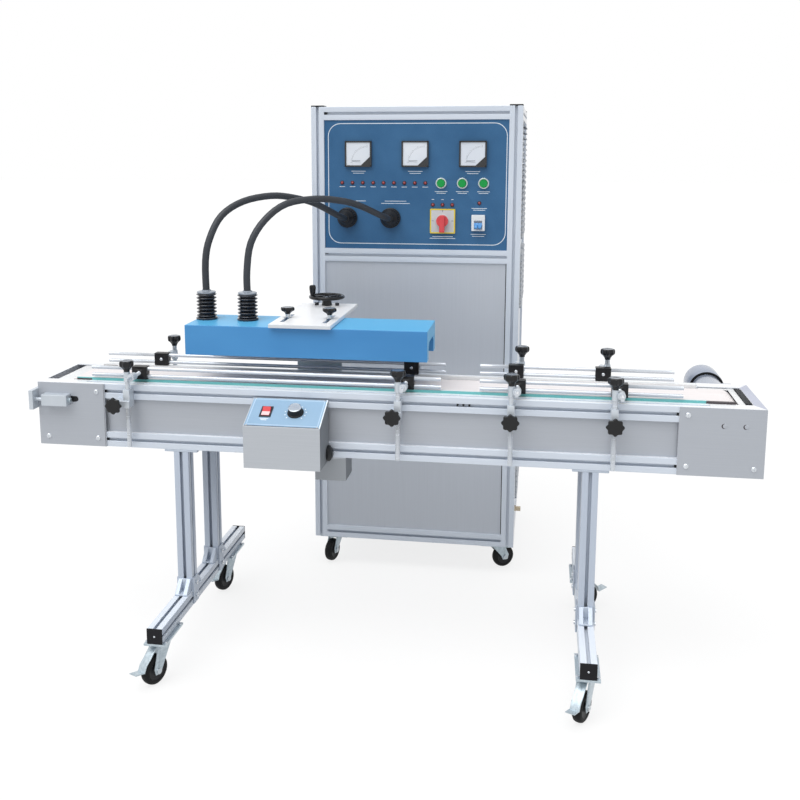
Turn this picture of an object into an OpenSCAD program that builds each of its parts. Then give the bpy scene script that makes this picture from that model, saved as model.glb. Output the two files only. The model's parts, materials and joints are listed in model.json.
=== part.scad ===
// Induction cap sealer: a belt conveyor on two castered stands, a sealing head on a lift plate,
// four adjustable guide rails and a control cabinet that feeds the head through two hoses.
// Millimetres. +X runs along the belt, +Y away from the operator, +Z up, floor at zero.

/* [Conveyor] */
// Length over the end walls
conveyor_length = 1860; // [1700:10:2200]
// Width over the two side rails
conveyor_width = 258; // [244:2:290]
// Height of the belt's upper face above the floor
belt_height = 720; // [690:5:780]
// Height of each side wall, rail to rail
side_height = 171; // [165:1:190]
// Side of the square T-slot profile
profile = 40; // [36:1:44]
// Radius of the drive and tail rollers
roller_radius = 40; // [34:1:44]
// Distance of a roller axis from the conveyor end
roller_inset = 80; // [76:1:95]
// Thickness of the belt
belt_thickness = 2; // [1:0.5:3]
// Width of each wear strip beside the belt
strip_width = 12; // [8:1:16]
// Length of the two left end plates
end_plate_left = 188; // [170:1:220]
// Length of the two right end plates
end_plate_right = 203; // [190:1:230]
// Thickness of the end plates
end_plate_t = 4; // [3:0.5:6]
// Diameter of the gear motor body
motor_d = 98; // [80:1:110]

/* [Stands] */
// Left stand, from the conveyor middle
left_stand_x = -537; // [-600:1:-450]
// Right stand, from the conveyor middle
right_stand_x = 523; // [450:1:600]
// Length of each foot bar
foot_length = 700; // [640:10:800]
// Height of the underside of the foot bars
foot_height = 116; // [112:1:130]

/* [Casters] */
// Wheel diameter under the stands
wheel_d = 76; // [66:1:80]
// Wheel diameter under the cabinet
cab_wheel_d = 72; // [62:1:73]
// Wheel width
wheel_w = 24; // [18:1:28]
// Trail from the swivel axis to the axle
caster_trail = 28; // [26:1:34]

/* [Guide rails] */
// Distance between the front and rear rails
lane_width = 180; // [150:1:190]
// Diameter of the polished rods
rod_d = 10; // [8:0.5:10]
// Diameter of the upright rods
upright_d = 12; // [10:0.5:14]
// Height of each rail pair's middle above the belt
guide_lift = 28; // [26:1:34]

/* [Sealing head] */
// Length of the head
head_length = 641; // [560:1:700]
// Depth of the head across the belt
head_depth = 180; // [160:1:200]
// Height of the head
head_height = 79; // [72:1:100]
// Clear height under the head
head_clear = 80; // [78:1:120]
// Middle of the head along the belt
head_x = -210; // [-240:1:-180]
// Width of the lift plate
plate_width = 164; // [150:1:190]
// Thickness of the lift plate
plate_t = 10; // [8:0.5:14]
// Middle of the lift plate along the belt
plate_x = -218; // [-240:1:-190]
// Handwheel diameter
handwheel_d = 104; // [90:1:120]

/* [Speed box] */
// Width of the speed box
box_width = 197; // [170:1:220]
// Depth of the speed box
box_depth = 102; // [90:1:120]
// Middle of the speed box along the belt
box_x = -236; // [-260:1:-210]

/* [Cabinet] */
// Width over the posts
cab_width = 640; // [600:5:760]
// Depth over the posts
cab_depth = 590; // [500:5:700]
// Height over the post caps
cab_height = 1465; // [1440:5:1600]
// Height of the underside of the frame
cab_foot = 90; // [86:1:100]
// Middle of the cabinet along the belt
cab_x = 5; // [-60:1:60]
// Clear distance behind the conveyor rails
cab_gap = 344; // [300:2:420]
// Height of the blue control panel
panel_height = 389; // [380:1:420]

/* [Hoses] */
// Outside diameter of the hoses
hose_d = 19; // [14:0.5:22]
// Outside diameter of the bellows
bellows_d = 48; // [40:1:54]
// Height of the bellows
bellows_h = 72; // [60:1:90]

/* [Hidden] */
$fn = 32;
cap_t = 4;
sheet = 3;
tension_out = 12;
hw = conveyor_width / 2;
inner = hw - profile;
half_len = conveyor_length / 2;
rail_half = half_len - 130;
rail_top = belt_height + 2;
side_bot = rail_top - side_height;
belt_half = inner - strip_width - 1.5;
axis_z = belt_height - belt_thickness - roller_radius;
axle_x = half_len - roller_inset;
y_cab = hw + cab_gap;
// the overall box is centred on the origin
x_mid = tension_out / 2;
caster_y = foot_length / 2 - 42;
rear_caster_y = foot_length / 2 - 98;
front_heading = 245;
toe_x = caster_trail + (wheel_d / 2 + 4) * cos(12) + 30;
front_out = caster_y - toe_x * sin(front_heading) - wheel_w / 2 * cos(front_heading);
y_conv = (front_out - y_cab - cab_depth) / 2;
post_top = cab_height - cap_t;
panel_bot = post_top - profile - panel_height;
panel_y = 4;
guide_z = belt_height + guide_lift;
guide_y = lane_width / 2;
upright_y = hw + 19;
clamp_half = 17;
// guide posts and rails keep their share of the side rails
stretch = rail_half / 800;
front_x = stretch * [-670, 44, 325, 574];
rear_x = stretch * [-651, 62, 344, 572];
star_dx = [-26, -10, 0, 0];
guide_spans = stretch * [[-792, 146], [244, 740], [-825, 141], [234, 740]];
head_bot = belt_height + head_clear;
head_top = head_bot + head_height;
plate_bot = head_top + 1;
plate_top = plate_bot + plate_t;
plate_front = -(head_depth / 2 + 15);
lift_y = hw + 103;
bellows_x = [-504, -389];
bellows_y = 15;
cab_caster_x = cab_width / 2 - 58;
cab_caster_y = 53;
box_top = rail_top - 20;
box_front = box_top - 48;
box_bot = side_bot - 6;
slope = atan((box_top - box_front) / box_depth);
slope_len = box_depth / cos(slope);
// swivel axis x, y and trail heading of the six swivel casters
swivel = [[left_stand_x, -caster_y, front_heading], [right_stand_x, -caster_y, front_heading],
  [left_stand_x, rear_caster_y, 250], [right_stand_x, rear_caster_y, 40],
  [cab_x - cab_caster_x, y_cab + cab_caster_y, 253], [cab_x + cab_caster_x, y_cab + cab_caster_y, 33]];
// controls keep their share of the panel, and the unit its share of the cabinet
pw = cab_width / 640;
pd = cab_depth / 590;
ph = panel_height / 389;
gland_x = pw * [-209, -75];
gland_z = panel_bot + 95 * ph;
gland_y = y_cab + panel_y - 44;
bellows_top = head_top + bellows_h;
start_a = [bellows_x[0], bellows_y, bellows_top];
start_b = [bellows_x[1], bellows_y, bellows_top];
end_a = [cab_x + gland_x[0], gland_y, gland_z];
end_b = [cab_x + gland_x[1], gland_y, gland_z];
// hand-chosen points of each hose, from its bellows and then from its gland
hose_a_points = [start_a, start_a + [0, 0, 85], start_a + [10, 10, 145], start_a + [35, 40, 205],
  end_a + [-220, -325, 65], end_a + [-160, -255, 78], end_a + [-110, -190, 70], end_a + [-62, -125, 50],
  end_a + [-16, -48, 14], end_a];
hose_b_points = [start_b, start_b + [0, 0, 60], start_b + [10, 8, 135], start_b + [42, 36, 195],
  end_b + [-230, -330, 60], end_b + [-165, -250, 70], end_b + [-110, -180, 62], end_b + [-68, -120, 46],
  end_b + [-14, -46, 12], end_b];

module conv() translate([x_mid, y_conv, 0]) children();
module cab() translate([x_mid + cab_x, y_conv + y_cab, 0]) children();
module block(a, b) translate(a) cube(b - a);
// box from corner to corner, mirrored to the front (s = -1) or rear (s = 1) side
module sided(s, a, b) mirror([0, s < 0 ? 1 : 0, 0]) block(a, b);

module profile_2d() difference() {
  square(profile, center = true);
  for (a = [0 : 90 : 270]) rotate(a) translate([0, profile / 2]) {
    square([profile * 0.2, profile * 0.23], center = true);
    translate([0, -profile * 0.19]) square([profile * 0.4, profile * 0.16], center = true);
  }
}
module bar_x(len) rotate([90, 0, 90]) linear_extrude(len, center = true) profile_2d();
module bar_y(len) rotate([90, 0, 0]) linear_extrude(len, center = true) profile_2d();
module bar_z(len) linear_extrude(len) profile_2d();
module rod_y(d, len) rotate([90, 0, 0]) cylinder(d = d, h = len, center = true, $fn = 24);

module conveyor_frame() color("#c3cbd6") conv() {
  for (s = [-1, 1], z = [rail_top - profile / 2, side_bot + profile / 2])
    translate([0, s * (hw - profile / 2), z]) bar_x(2 * rail_half);
  for (x = [left_stand_x, 0, right_stand_x])
    translate([x, 0, side_bot + profile / 2]) bar_y(2 * inner);
  for (x = [left_stand_x, right_stand_x]) {
    translate([x, 0, foot_height + profile / 2]) bar_y(foot_length);
    for (s = [-1, 1]) translate([x, s * (hw - profile / 2), foot_height + profile])
      bar_z(side_bot - 6 - foot_height - profile);
  }
}

module side_panels() color("#a9afb6") conv() for (s = [-1, 1])
  sided(s, [-rail_half, hw - 14, side_bot + profile], [rail_half, hw - 11, rail_top - profile]);

module slider_bed() color("#b5babf") conv() {
  top = belt_height - belt_thickness;
  half = min(rail_half, axle_x - roller_radius - 8);
  block([-half, -inner, top - 2], [half, inner, top]);
  for (s = [-1, 1]) sided(s, [-half, inner - 2, top - 26], [half, inner, top - 1]);
}

module wear_strips() color("#6ecdc8") conv() for (s = [-1, 1])
  sided(s, [-axle_x + 12, inner - strip_width, belt_height - belt_thickness],
    [axle_x - 55, inner, min(belt_height + 9, guide_z - clamp_half - 2)]);

module stadium(r) hull() for (s = [-1, 1]) translate([s * axle_x, axis_z]) circle(r, $fn = 64);
module conveyor_belt() color("#f0e4e0") conv() rotate([90, 0, 0])
  linear_extrude(2 * belt_half, center = true) difference() {
    stadium(roller_radius + belt_thickness);
    stadium(roller_radius);
  }

module roller() {
  rod_y(2 * roller_radius - 0.8, 2 * belt_half);
  rod_y(17, 2 * hw - 8);
}
module drive_roller() color("#3b3f45") conv() translate([axle_x, 0, axis_z]) roller();
module tail_roller() color("#8a9097") conv() translate([-axle_x, 0, axis_z]) roller();

module end_plates() color("#b3b8be") conv() difference() {
  union() {
    for (s = [-1, 1]) {
      sided(s, [-half_len, hw, side_bot], [-half_len + end_plate_left, hw + end_plate_t, rail_top]);
      sided(s, [half_len - end_plate_right, hw, side_bot], [half_len, hw + end_plate_t, rail_top]);
      sided(s, [-half_len, inner + 2, rail_top - 3], [-rail_half, hw + 1, rail_top]);
      sided(s, [rail_half, inner + 2, rail_top - 3], [half_len, hw + 1, rail_top]);
      for (x = [-axle_x, axle_x]) sided(s, [x - 26, inner + 3, axis_z - 26], [x + 26, hw + 1, axis_z + 26]);
    }
    block([-half_len, -hw - 1, side_bot], [-half_len + 8, hw + 1, rail_top]);
    block([half_len - 25, -hw - 1, side_bot], [half_len, hw + 1, rail_top]);
  }
  for (x = [-axle_x, axle_x]) translate([x, 0, axis_z]) rod_y(17.2, 2 * hw - 2);
  for (s = [-1, 1]) translate([-axle_x, s * (hw + end_plate_t / 2 + 1), axis_z])
    hull() for (dx = [0, 26]) translate([dx, 0, 0]) rod_y(16, end_plate_t + 1.9);
}

module belt_tensioners() color("#c2c7cc") conv() for (s = [-1, 1]) {
  y = hw + end_plate_t;
  sided(s, [-half_len + 21, y, axis_z - 15], [-half_len + 92, y + 26, axis_z + 15]);
  sided(s, [-half_len - tension_out, hw - 24, axis_z - 26], [-half_len, y + 30, axis_z + 26]);
  translate([-half_len - 1, s * (y + 14), axis_z]) rotate([0, 90, 0]) cylinder(d = 10, h = 24, $fn = 20);
}

module gear_motor() color("#b9bcc6") conv() translate([axle_x, hw + end_plate_t, axis_z]) {
  block([-43, 0, -43], [43, 12, 43]);
  r = motor_d / 2;
  rotate([-90, 0, 0]) rotate_extrude($fn = 48) polygon([[0, 10], [r - 8, 10], [r - 8, 124], [r - 1, 124],
    [r - 1, 134], [r, 136], [r, 218], [r - 7, 228], [0, 228]]);
}

// side outline of the speed box, drawn in by o and then open towards the rail
module wedge_2d(o) polygon([[-hw + o / 2, box_bot + o], [-hw - box_depth + o, box_bot + o],
  [-hw - box_depth + o, box_front - o * 0.7], [-hw + o / 2, box_top - o * 0.85]]);
module on_slope(x, v) translate([x_mid + box_x + x, y_conv - hw, box_top]) rotate([slope, 0, 0])
  translate([0, -slope_len + v, 0]) children();
rocker_v = 56;
rocker_x = -51;
knob_x = 25;
module speed_box() color("#b4b9be") {
  difference() {
    conv() translate([box_x, 0, 0]) difference() {
      rotate([90, 0, 90]) linear_extrude(box_width, center = true) wedge_2d(0);
      rotate([90, 0, 90]) linear_extrude(box_width - 4, center = true) wedge_2d(2);
    }
    on_slope(rocker_x, rocker_v) cube([23, 33, 30], center = true);
    on_slope(knob_x, rocker_v) cylinder(d = 8, h = 30, center = true);
  }
  conv() difference() {
    block([box_x + 62, -hw, side_bot - 62], [box_x + 143, -hw + 80, side_bot]);
    block([box_x + 64, -hw + 2, side_bot - 63], [box_x + 141, -hw + 81, side_bot - 2]);
  }
}

module stand_brackets() color("#d3d8dd") conv() for (x = [left_stand_x, right_stand_x], s = [-1, 1]) {
  z = foot_height + profile;
  sided(s, [x - 45, inner - 3, side_bot - 6], [x + 45, hw, side_bot]);
  for (d = [-1, 1]) translate([x + d * (profile / 2 + 2), s * (hw - profile / 2), z])
    cube([4, profile - 4, 2 * profile - 6], center = true);
  for (f = [hw, -inner]) mirror([0, s < 0 ? 1 : 0, 0]) translate([x, f, z]) rotate([90, 0, 90])
    difference() {
      linear_extrude(profile - 6, center = true) polygon([[0, 0], [36, 0], [36, 5], [5, 36], [0, 36]]);
      linear_extrude(profile - 28, center = true) polygon([[5, 5], [40, 5], [40, 40], [5, 40]]);
    }
}

module end_caps() color("#26272b") {
  conv() for (x = [left_stand_x, right_stand_x], s = [-1, 1])
    sided(s, [x - profile / 2, foot_length / 2, foot_height],
      [x + profile / 2, foot_length / 2 + cap_t, foot_height + profile]);
  cab() for (x = [-1, 1], y = [profile / 2, cab_depth - profile / 2])
    translate([x * (cab_width - profile) / 2, y, post_top + cap_t / 2])
      cube([profile, profile, cap_t], center = true);
}

// fork with its swivel axis on z, trailing towards +x; h is the height of its plate
module fork(h, r, pedal, fixed) {
  w = wheel_w / 2;
  translate([0, 0, h - 9]) cylinder(d = 46, h = fixed ? 9 : 8.5);
  for (s = [-1, 1]) translate([0, s * (w + 3), 0]) rotate([90, 0, 0]) linear_extrude(3, center = true)
    polygon([[-17, h - 9], [-17, h - 2], [19, h - 2], [26, h - 9], [caster_trail + 13, r + 6],
      [caster_trail + 9, r - 9], [caster_trail - 8, r - 9], [caster_trail - 14, r + 4]]);
  translate([caster_trail, 0, r]) rod_y(9, wheel_w + 16);
  // brake pedal: a hood that hugs the wheel and ends in a flat toe
  inside = [for (a = [60, 36, 12]) [caster_trail, r] + (r + 4) * [cos(a), sin(a)]];
  outside = [for (a = [15, 38, 60]) [caster_trail, r] + (r + 7) * [cos(a), sin(a)]];
  if (pedal) rotate([90, 0, 0]) linear_extrude(wheel_w, center = true)
    polygon(concat([[14, h - 8], [24, h - 8]], inside, [[toe_x, inside[2][1] + 6], [toe_x, inside[2][1] + 8.5]],
      outside, [[25, h - 4], [14, h - 4]]));
}
module wheel(r) {
  w = wheel_w / 2;
  translate([caster_trail, 0, r]) rotate([90, 0, 0]) rotate_extrude($fn = 32)
    polygon([[4.6, -w], [r - 10, -w], [r - 3, 1.5 - w], [r, 6 - w], [r, w - 6], [r - 3, w - 1.5],
      [r - 10, w], [4.6, w]]);
}
module at_swivel(i) translate([x_mid + swivel[i][0], y_conv + swivel[i][1], 0])
  rotate(swivel[i][2]) children();
module at_rigid(s) cab() translate([s * cab_caster_x, cab_depth - cab_caster_y - caster_trail, 0])
  rotate(90) children();
fork_h = foot_height - 6;
cab_fork_h = cab_foot - 6;

module caster_plates() color("#c9d2d9") {
  conv() for (x = [left_stand_x, right_stand_x], s = [-1, 1])
    let (y = s < 0 ? foot_length / 2 + cap_t : rear_caster_y + 63)
      sided(s, [x - 29, y - 125, foot_height - 6], [x + 29, y, foot_height]);
  cab() for (s = [-1, 1], y = [cab_caster_y, cab_depth - cab_caster_y]) translate([s * cab_caster_x, y, 0])
    block([-45, -40, cab_foot - 6], [45, 40, cab_foot]);
  for (s = [-1, 1]) at_rigid(s) fork(cab_fork_h, cab_wheel_d / 2, false, true);
}
module swivel_fork(i) color("#bfc9cf") at_swivel(i)
  fork(i < 4 ? fork_h : cab_fork_h, (i < 4 ? wheel_d : cab_wheel_d) / 2, i < 4, false);
module swivel_wheel(i) color("#1e1f22") at_swivel(i) wheel((i < 4 ? wheel_d : cab_wheel_d) / 2);
module fork_fl() swivel_fork(0);
module fork_fr() swivel_fork(1);
module fork_rl() swivel_fork(2);
module fork_rr() swivel_fork(3);
module cab_fork_l() swivel_fork(4);
module cab_fork_r() swivel_fork(5);
module wheel_fl() swivel_wheel(0);
module wheel_fr() swivel_wheel(1);
module wheel_rl() swivel_wheel(2);
module wheel_rr() swivel_wheel(3);
module cab_wheel_fl() swivel_wheel(4);
module cab_wheel_fr() swivel_wheel(5);
module cab_wheel_rl() color("#1e1f22") at_rigid(-1) wheel(cab_wheel_d / 2);
module cab_wheel_rr() color("#1e1f22") at_rigid(1) wheel(cab_wheel_d / 2);

module lift_block() color("#bcc2c8") conv() translate([plate_x, 0, 0]) difference() {
  union() {
    block([-64, hw, rail_top - 34], [64, lift_y + 30, head_bot]);
    block([-64, hw, side_bot + 8], [64, hw + 12, rail_top - 33]);
  }
  for (x = [-30, 30]) translate([x, lift_y, side_bot]) cylinder(d = 20.2, h = head_height + head_bot);
  translate([0, lift_y, side_bot]) cylinder(d = 14.6, h = head_height + head_bot);
}

module head_plate() color("#e8ebee") conv() translate([plate_x, 0, 0]) {
  difference() {
    block([-plate_width / 2, plate_front, plate_bot], [plate_width / 2, lift_y + 42, plate_top]);
    for (x = [-57, 57]) translate([x, 0, plate_bot - 1]) linear_extrude(plate_t + 2)
      hull() for (y = [-62, 55]) translate([0, y]) circle(d = 11, $fn = 24);
    translate([0, lift_y, plate_bot - 1]) cylinder(d = 17, h = plate_t + 2);
  }
  for (x = [-30, 30]) {
    translate([x, lift_y, side_bot + 40]) cylinder(d = 20, h = plate_bot - side_bot - 39);
    translate([x, lift_y, plate_top - 1]) cylinder(d = 13, h = 9, $fn = 6);
  }
}

module handwheel() color("#25272b") conv() translate([plate_x, lift_y, 0]) {
  translate([0, 0, side_bot + 50]) cylinder(d = 14.4, h = plate_top - side_bot - 49);
  translate([0, 0, plate_top + 0.5]) cylinder(d1 = 30, d2 = 24, h = 26);
  translate([0, 0, plate_top + 25]) rotate_extrude($fn = 40)
    translate([handwheel_d / 2 - 6, 0]) circle(6, $fn = 12);
  for (a = [40, 160, 280]) rotate(a) translate([6, -5, plate_top + 20]) cube([handwheel_d / 2 - 11, 10, 8]);
  rotate(200) translate([handwheel_d / 2 - 9, 0, plate_top + 28])
    cylinder(d1 = 12, d2 = 17, h = 38, $fn = 20);
}

tunnel = head_depth / 2 - 31;
module sealing_head() color("#4f94cc") conv() translate([head_x, 0, 0]) {
  l = head_length / 2;
  d = head_depth / 2;
  ceil = head_bot + head_height * 0.56;
  block([-l, -d, head_top - 4], [l, d, head_top]);
  for (s = [-1, 1]) {
    sided(s, [-l, d - 4, head_bot], [l, d, head_top]);
    sided(s, [-l, tunnel, head_bot], [l, tunnel + 3, ceil + 3]);
    difference() {
      translate([s * (l - 2), 0, (head_bot + head_top) / 2]) cube([4, 2 * d, head_height], center = true);
      translate([s * (l - 2), 0, head_bot]) rotate([90, 0, 90]) linear_extrude(6, center = true)
        polygon([[-tunnel, -1], [tunnel, -1], [tunnel, ceil - head_bot - 14], [tunnel - 14, ceil - head_bot],
          [14 - tunnel, ceil - head_bot], [-tunnel, ceil - head_bot - 14]]);
    }
  }
  block([-l, -tunnel - 1, ceil], [l, tunnel + 1, ceil + 3]);
}
module induction_coil() color("#7b4a2b") conv() translate([head_x, 0, head_bot + head_height * 0.56 + 3])
  difference() {
    block([-head_length / 2 + 40, -tunnel + 4, 0], [head_length / 2 - 40, tunnel - 4, 16]);
    block([-head_length / 2 + 75, -tunnel + 34, 4], [head_length / 2 - 75, tunnel - 34, 20]);
  }

module bellows() color("#1d1f23") conv() for (x = bellows_x) translate([x, bellows_y, head_top])
  let (r = bellows_d / 2) rotate_extrude() polygon(concat([[0, 0], [r + 5, 0], [r + 5, 4], [r - 3, 7]],
    [for (i = [0 : 6]) each let (p = (bellows_h - 15) / 7, z = 7 + i * p)
      [[r, z + p * 0.35], [r, z + p * 0.6], [r - 5, z + p]]],
    [[hose_d / 2 + 3, bellows_h - 6], [hose_d / 2 + 2, bellows_h], [0, bellows_h]]));

module head_knobs() color("#222327") conv() for (x = [-57, 57]) translate([plate_x + x, 3, 0]) {
  translate([0, 0, head_top]) cylinder(d = 8, h = plate_t + 4, $fn = 20);
  translate([0, 0, plate_top + 0.5]) cylinder(d = 22, h = 4);
  translate([0, 0, plate_top + 4]) cylinder(d = 12, h = 8);
  translate([0, 0, plate_top + 11]) star(38, 20, 18);
}

// lobed knob standing on the xy plane, narrower at its foot
module star(d, d_foot, h) {
  lobes = [for (i = [0 : 31]) let (a = i * 11.25) d / 2 * (0.93 + 0.07 * cos(a * 8)) * [cos(a), sin(a)]];
  cylinder(d1 = d_foot, d2 = d * 0.84, h = h * 0.5, $fn = 24);
  translate([0, 0, h * 0.45]) linear_extrude(h * 0.55, scale = 0.94) polygon(lobes);
}
module at_guides() for (i = [0 : 3], s = [-1, 1])
  conv() translate([(s < 0 ? front_x : rear_x)[i], 0, 0]) mirror([0, s < 0 ? 1 : 0, 0]) {
    $side = s;
    $i = i;
    children();
  }
module guide_brackets() color("#ccd2d9") at_guides() {
  o = -14 * $side;
  sx = $side < 0 ? star_dx[$i] : 0;
  block([min(sx, 0) - 9, hw, rail_top - 55], [9, hw + 34, rail_top - 36]);
  block([-9, hw, rail_top - 37], [9, hw + 30, rail_top - 8]);
  translate([0, upright_y, side_bot + 8]) cylinder(d = upright_d, h = guide_z + 13 - side_bot - 8, $fn = 24);
  difference() {
    union() {
      translate([0, upright_y, guide_z - 13]) cylinder(d = 2 * (13.5 - rod_d / 2), h = 26, $fn = 24);
      translate([o, upright_y, guide_z]) rod_y(rod_d + 10, 26);
    }
    translate([o, upright_y, guide_z]) rod_y(rod_d + 0.2, 40);
  }
}
module guide_knobs() color("#222327") at_guides() {
  translate([$side < 0 ? star_dx[$i] : 0, hw + 34, rail_top - 45]) rotate([-90, 0, 0]) {
    cylinder(d = 14, h = 8, $fn = 20);
    translate([0, 0, 7]) star(45, 22, 18);
  }
  translate([0, upright_y, guide_z + 13]) {
    stem = $side < 0 ? 1 : 14;
    cylinder(d = 13, h = stem + 1, $fn = 20);
    translate([0, 0, stem]) star(39, 15, 29);
  }
}
module guide(s, first, span) color("#e4e8ec") conv() mirror([0, s < 0 ? 1 : 0, 0]) {
  for (z = [-10, 10]) translate([span[0], guide_y, guide_z + z]) rotate([0, 90, 0])
    cylinder(d = rod_d, h = span[1] - span[0], $fn = 20);
  for (i = [first, first + 1]) translate([(s < 0 ? front_x : rear_x)[i] - 14 * s, 0, 0]) {
    block([-20, guide_y - 12, guide_z - clamp_half], [20, guide_y + 12, guide_z + clamp_half]);
    translate([0, (guide_y + upright_y + 42) / 2, guide_z]) rod_y(rod_d, upright_y + 42 - guide_y);
  }
}
module guide_fl() guide(-1, 0, guide_spans[0]);
module guide_fr() guide(-1, 2, guide_spans[1]);
module guide_rl() guide(1, 0, guide_spans[2]);
module guide_rr() guide(1, 2, guide_spans[3]);

module cabinet_frame() color("#c3cbd6") cab() {
  for (x = [-1, 1], y = [profile / 2, cab_depth - profile / 2])
    translate([x * (cab_width - profile) / 2, y, cab_foot]) bar_z(post_top - cab_foot);
  for (y = [profile / 2, cab_depth - profile / 2], z = [cab_foot, panel_bot - profile, post_top - profile])
    translate([0, y, z + profile / 2]) bar_x(cab_width - 2 * profile);
  for (x = [-1, 1], z = [cab_foot, post_top - profile])
    translate([x * (cab_width - profile) / 2, cab_depth / 2, z + profile / 2]) bar_y(cab_depth - 2 * profile);
}

module cabinet_panels() color("#a9aeb4") cab() {
  w = cab_width / 2 - profile;
  z0 = cab_foot + profile;
  z1 = post_top - profile;
  block([-w, 6, z0], [w, 6 + sheet, panel_bot - profile]);
  block([-w, cab_depth - 9, z0], [w, cab_depth - 9 + sheet, panel_bot - profile]);
  block([-w, cab_depth - 9, panel_bot], [w, cab_depth - 9 + sheet, z1]);
  block([-w, profile, post_top - 9], [w, cab_depth - profile, post_top - 9 + sheet]);
  block([-w, profile, cab_foot + 6], [w, cab_depth - profile, cab_foot + 6 + sheet]);
  for (s = [-1, 1]) difference() {
    translate([s * (cab_width / 2 - 8), cab_depth / 2, (z0 + z1) / 2])
      cube([sheet, cab_depth - 2 * profile, z1 - z0], center = true);
    for (g = louvres, i = [0 : g[1] - 1], y = [0.31, 0.69])
      translate([s * (cab_width / 2 - 8), cab_depth * y, z1 - (z1 - z0) * g[0] - i * 18])
        cube([2 * sheet, cab_depth * 0.31, 6], center = true);
  }
}
// groups of vent slots in the sides: share of the height under the top bar, and their number
louvres = [[0.013, 20], [0.32, 10], [0.845, 7]];

button_x = pw * [79, 143, 207];
button_z = panel_bot + 201 * ph;
cam_x = 85 * pw;
cam_z = panel_bot + 88 * ph;
breaker_x = 193 * pw;
breaker_z = panel_bot + 83 * ph;
module panel_rod(x, z, d, y0, y1) translate([x, (y0 + y1) / 2, z]) rod_y(d, y1 - y0);

module control_panel() color("#33648f") cab() difference() {
  w = cab_width / 2 - profile;
  block([-w, panel_y, panel_bot], [w, panel_y + 4, post_top - profile]);
  for (x = button_x) panel_rod(x, button_z, 24, 0, 12);
}
module panel_meters() color("#2a2c30") cab() for (x = pw * [-174, 0, 174])
  translate([x, panel_y, panel_bot + 288 * ph]) block([-41, -10, -39], [41, 0, 39]);
module pilot_lamps() color("#8d1f24") cab() {
  for (i = [0 : 8]) panel_rod((-225 + 32 * i) * pw, button_z, 10, panel_y - 4, panel_y);
  for (x = [-30.5, -1, 28.5]) panel_rod(cam_x + x, cam_z + 48, 10, panel_y - 4, panel_y);
  panel_rod(breaker_x + 2, cam_z + 54, 10, panel_y - 4, panel_y);
}
module switch_bases() color("#d9dbd8") cab() {
  block([cam_x - 38, panel_y - 6, cam_z - 38], [cam_x + 38, panel_y, cam_z + 36]);
  panel_rod(cam_x, cam_z, 40, panel_y - 12, panel_y - 5);
  difference() {
    block([breaker_x - 20, panel_y - 14, breaker_z - 24], [breaker_x + 20, panel_y, breaker_z + 24]);
    block([breaker_x - 12, panel_y - 15, breaker_z - 19], [breaker_x + 12, panel_y - 2, breaker_z + 7]);
  }
  for (x = button_x) difference() {
    panel_rod(x, button_z, 33, panel_y - 5, panel_y);
    panel_rod(x, button_z, 24, panel_y - 9, panel_y + 1);
  }
}
module cam_handle() color("#c1272d") cab() translate([cam_x, 0, cam_z]) {
  panel_rod(0, 0, 36, panel_y - 20, panel_y - 12.5);
  block([-8, panel_y - 30, -34], [8, panel_y - 19, 18]);
}
module breaker_toggle() color("#2e5fae") cab() translate([breaker_x, panel_y - 10, breaker_z - 6]) {
  rotate([0, 90, 0]) cylinder(d = 13, h = 23.8, center = true, $fn = 24);
  for (x = [-5.5, 5.5]) translate([x, 0, 0]) rotate([25, 0, 0]) translate([0, -11, 0])
    cube([9, 20, 6], center = true);
}
module button(i) color("#3fae57") cab() {
  panel_rod(button_x[i], button_z, 22.5, panel_y - 12, panel_y + 10);
  panel_rod(button_x[i], button_z, 28, panel_y + 9.5, panel_y + 13);
}
module button_1() button(0);
module button_2() button(1);
module button_3() button(2);

module glands() color("#232428") {
  cab() for (x = gland_x) translate([x, panel_y, gland_z]) rotate([90, 0, 0]) rotate_extrude($fn = 36)
    polygon([[0, 0], [31, 0], [31, 9], [26, 12], [26, 24], [21, 30], [hose_d / 2 + 4, 42],
      [hose_d / 2 + 3, 44], [0, 44]]);
  on_slope(rocker_x, rocker_v) difference() {
    translate([0, 0, 1.5]) cube([30, 41, 3], center = true);
    cube([22.6, 32.6, 12], center = true);
  }
  conv() translate([box_x + box_width / 2, -hw - 16, box_bot + 22]) rotate([0, 90, 0]) {
    cylinder(d = 26, h = 4, $fn = 6);
    cylinder(d = 18, h = 14, $fn = 24);
  }
}
module rocker() color("#c62a30") on_slope(rocker_x, rocker_v) translate([0, 0, -1]) {
  rotate([8, 0, 0]) rotate([90, 0, 90]) linear_extrude(21, center = true)
    polygon([[-14.5, -5], [14.5, -5], [14.5, 7], [0, 4], [-14.5, 7]]);
  rotate([0, 90, 0]) cylinder(d = 6, h = 22, center = true, $fn = 24);
}
module speed_knob() color("#25262a") on_slope(knob_x, rocker_v) {
  translate([0, 0, -8]) cylinder(d = 7, h = 10);
  translate([0, 0, 0.5]) cylinder(d = 38, h = 4, $fn = 36);
  translate([0, 0, 4]) cylinder(d1 = 31, d2 = 27, h = 16, $fn = 36);
}

fitting_y = [145];
module water_fittings() color("#c79a3c") cab() for (y = fitting_y)
  translate([cab_width / 2 - 6.5, y, cab_foot + profile + 38]) rotate([0, 90, 0]) {
    cylinder(d = 22, h = 9, $fn = 6);
    cylinder(d = 16, h = 24, $fn = 24);
  }
module power_unit() color("#8f959c") cab()
  block([-200 * pw, 130 * pd, cab_foot + 6 + sheet], [200 * pw, 470 * pd, cab_foot + 450]);

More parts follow.
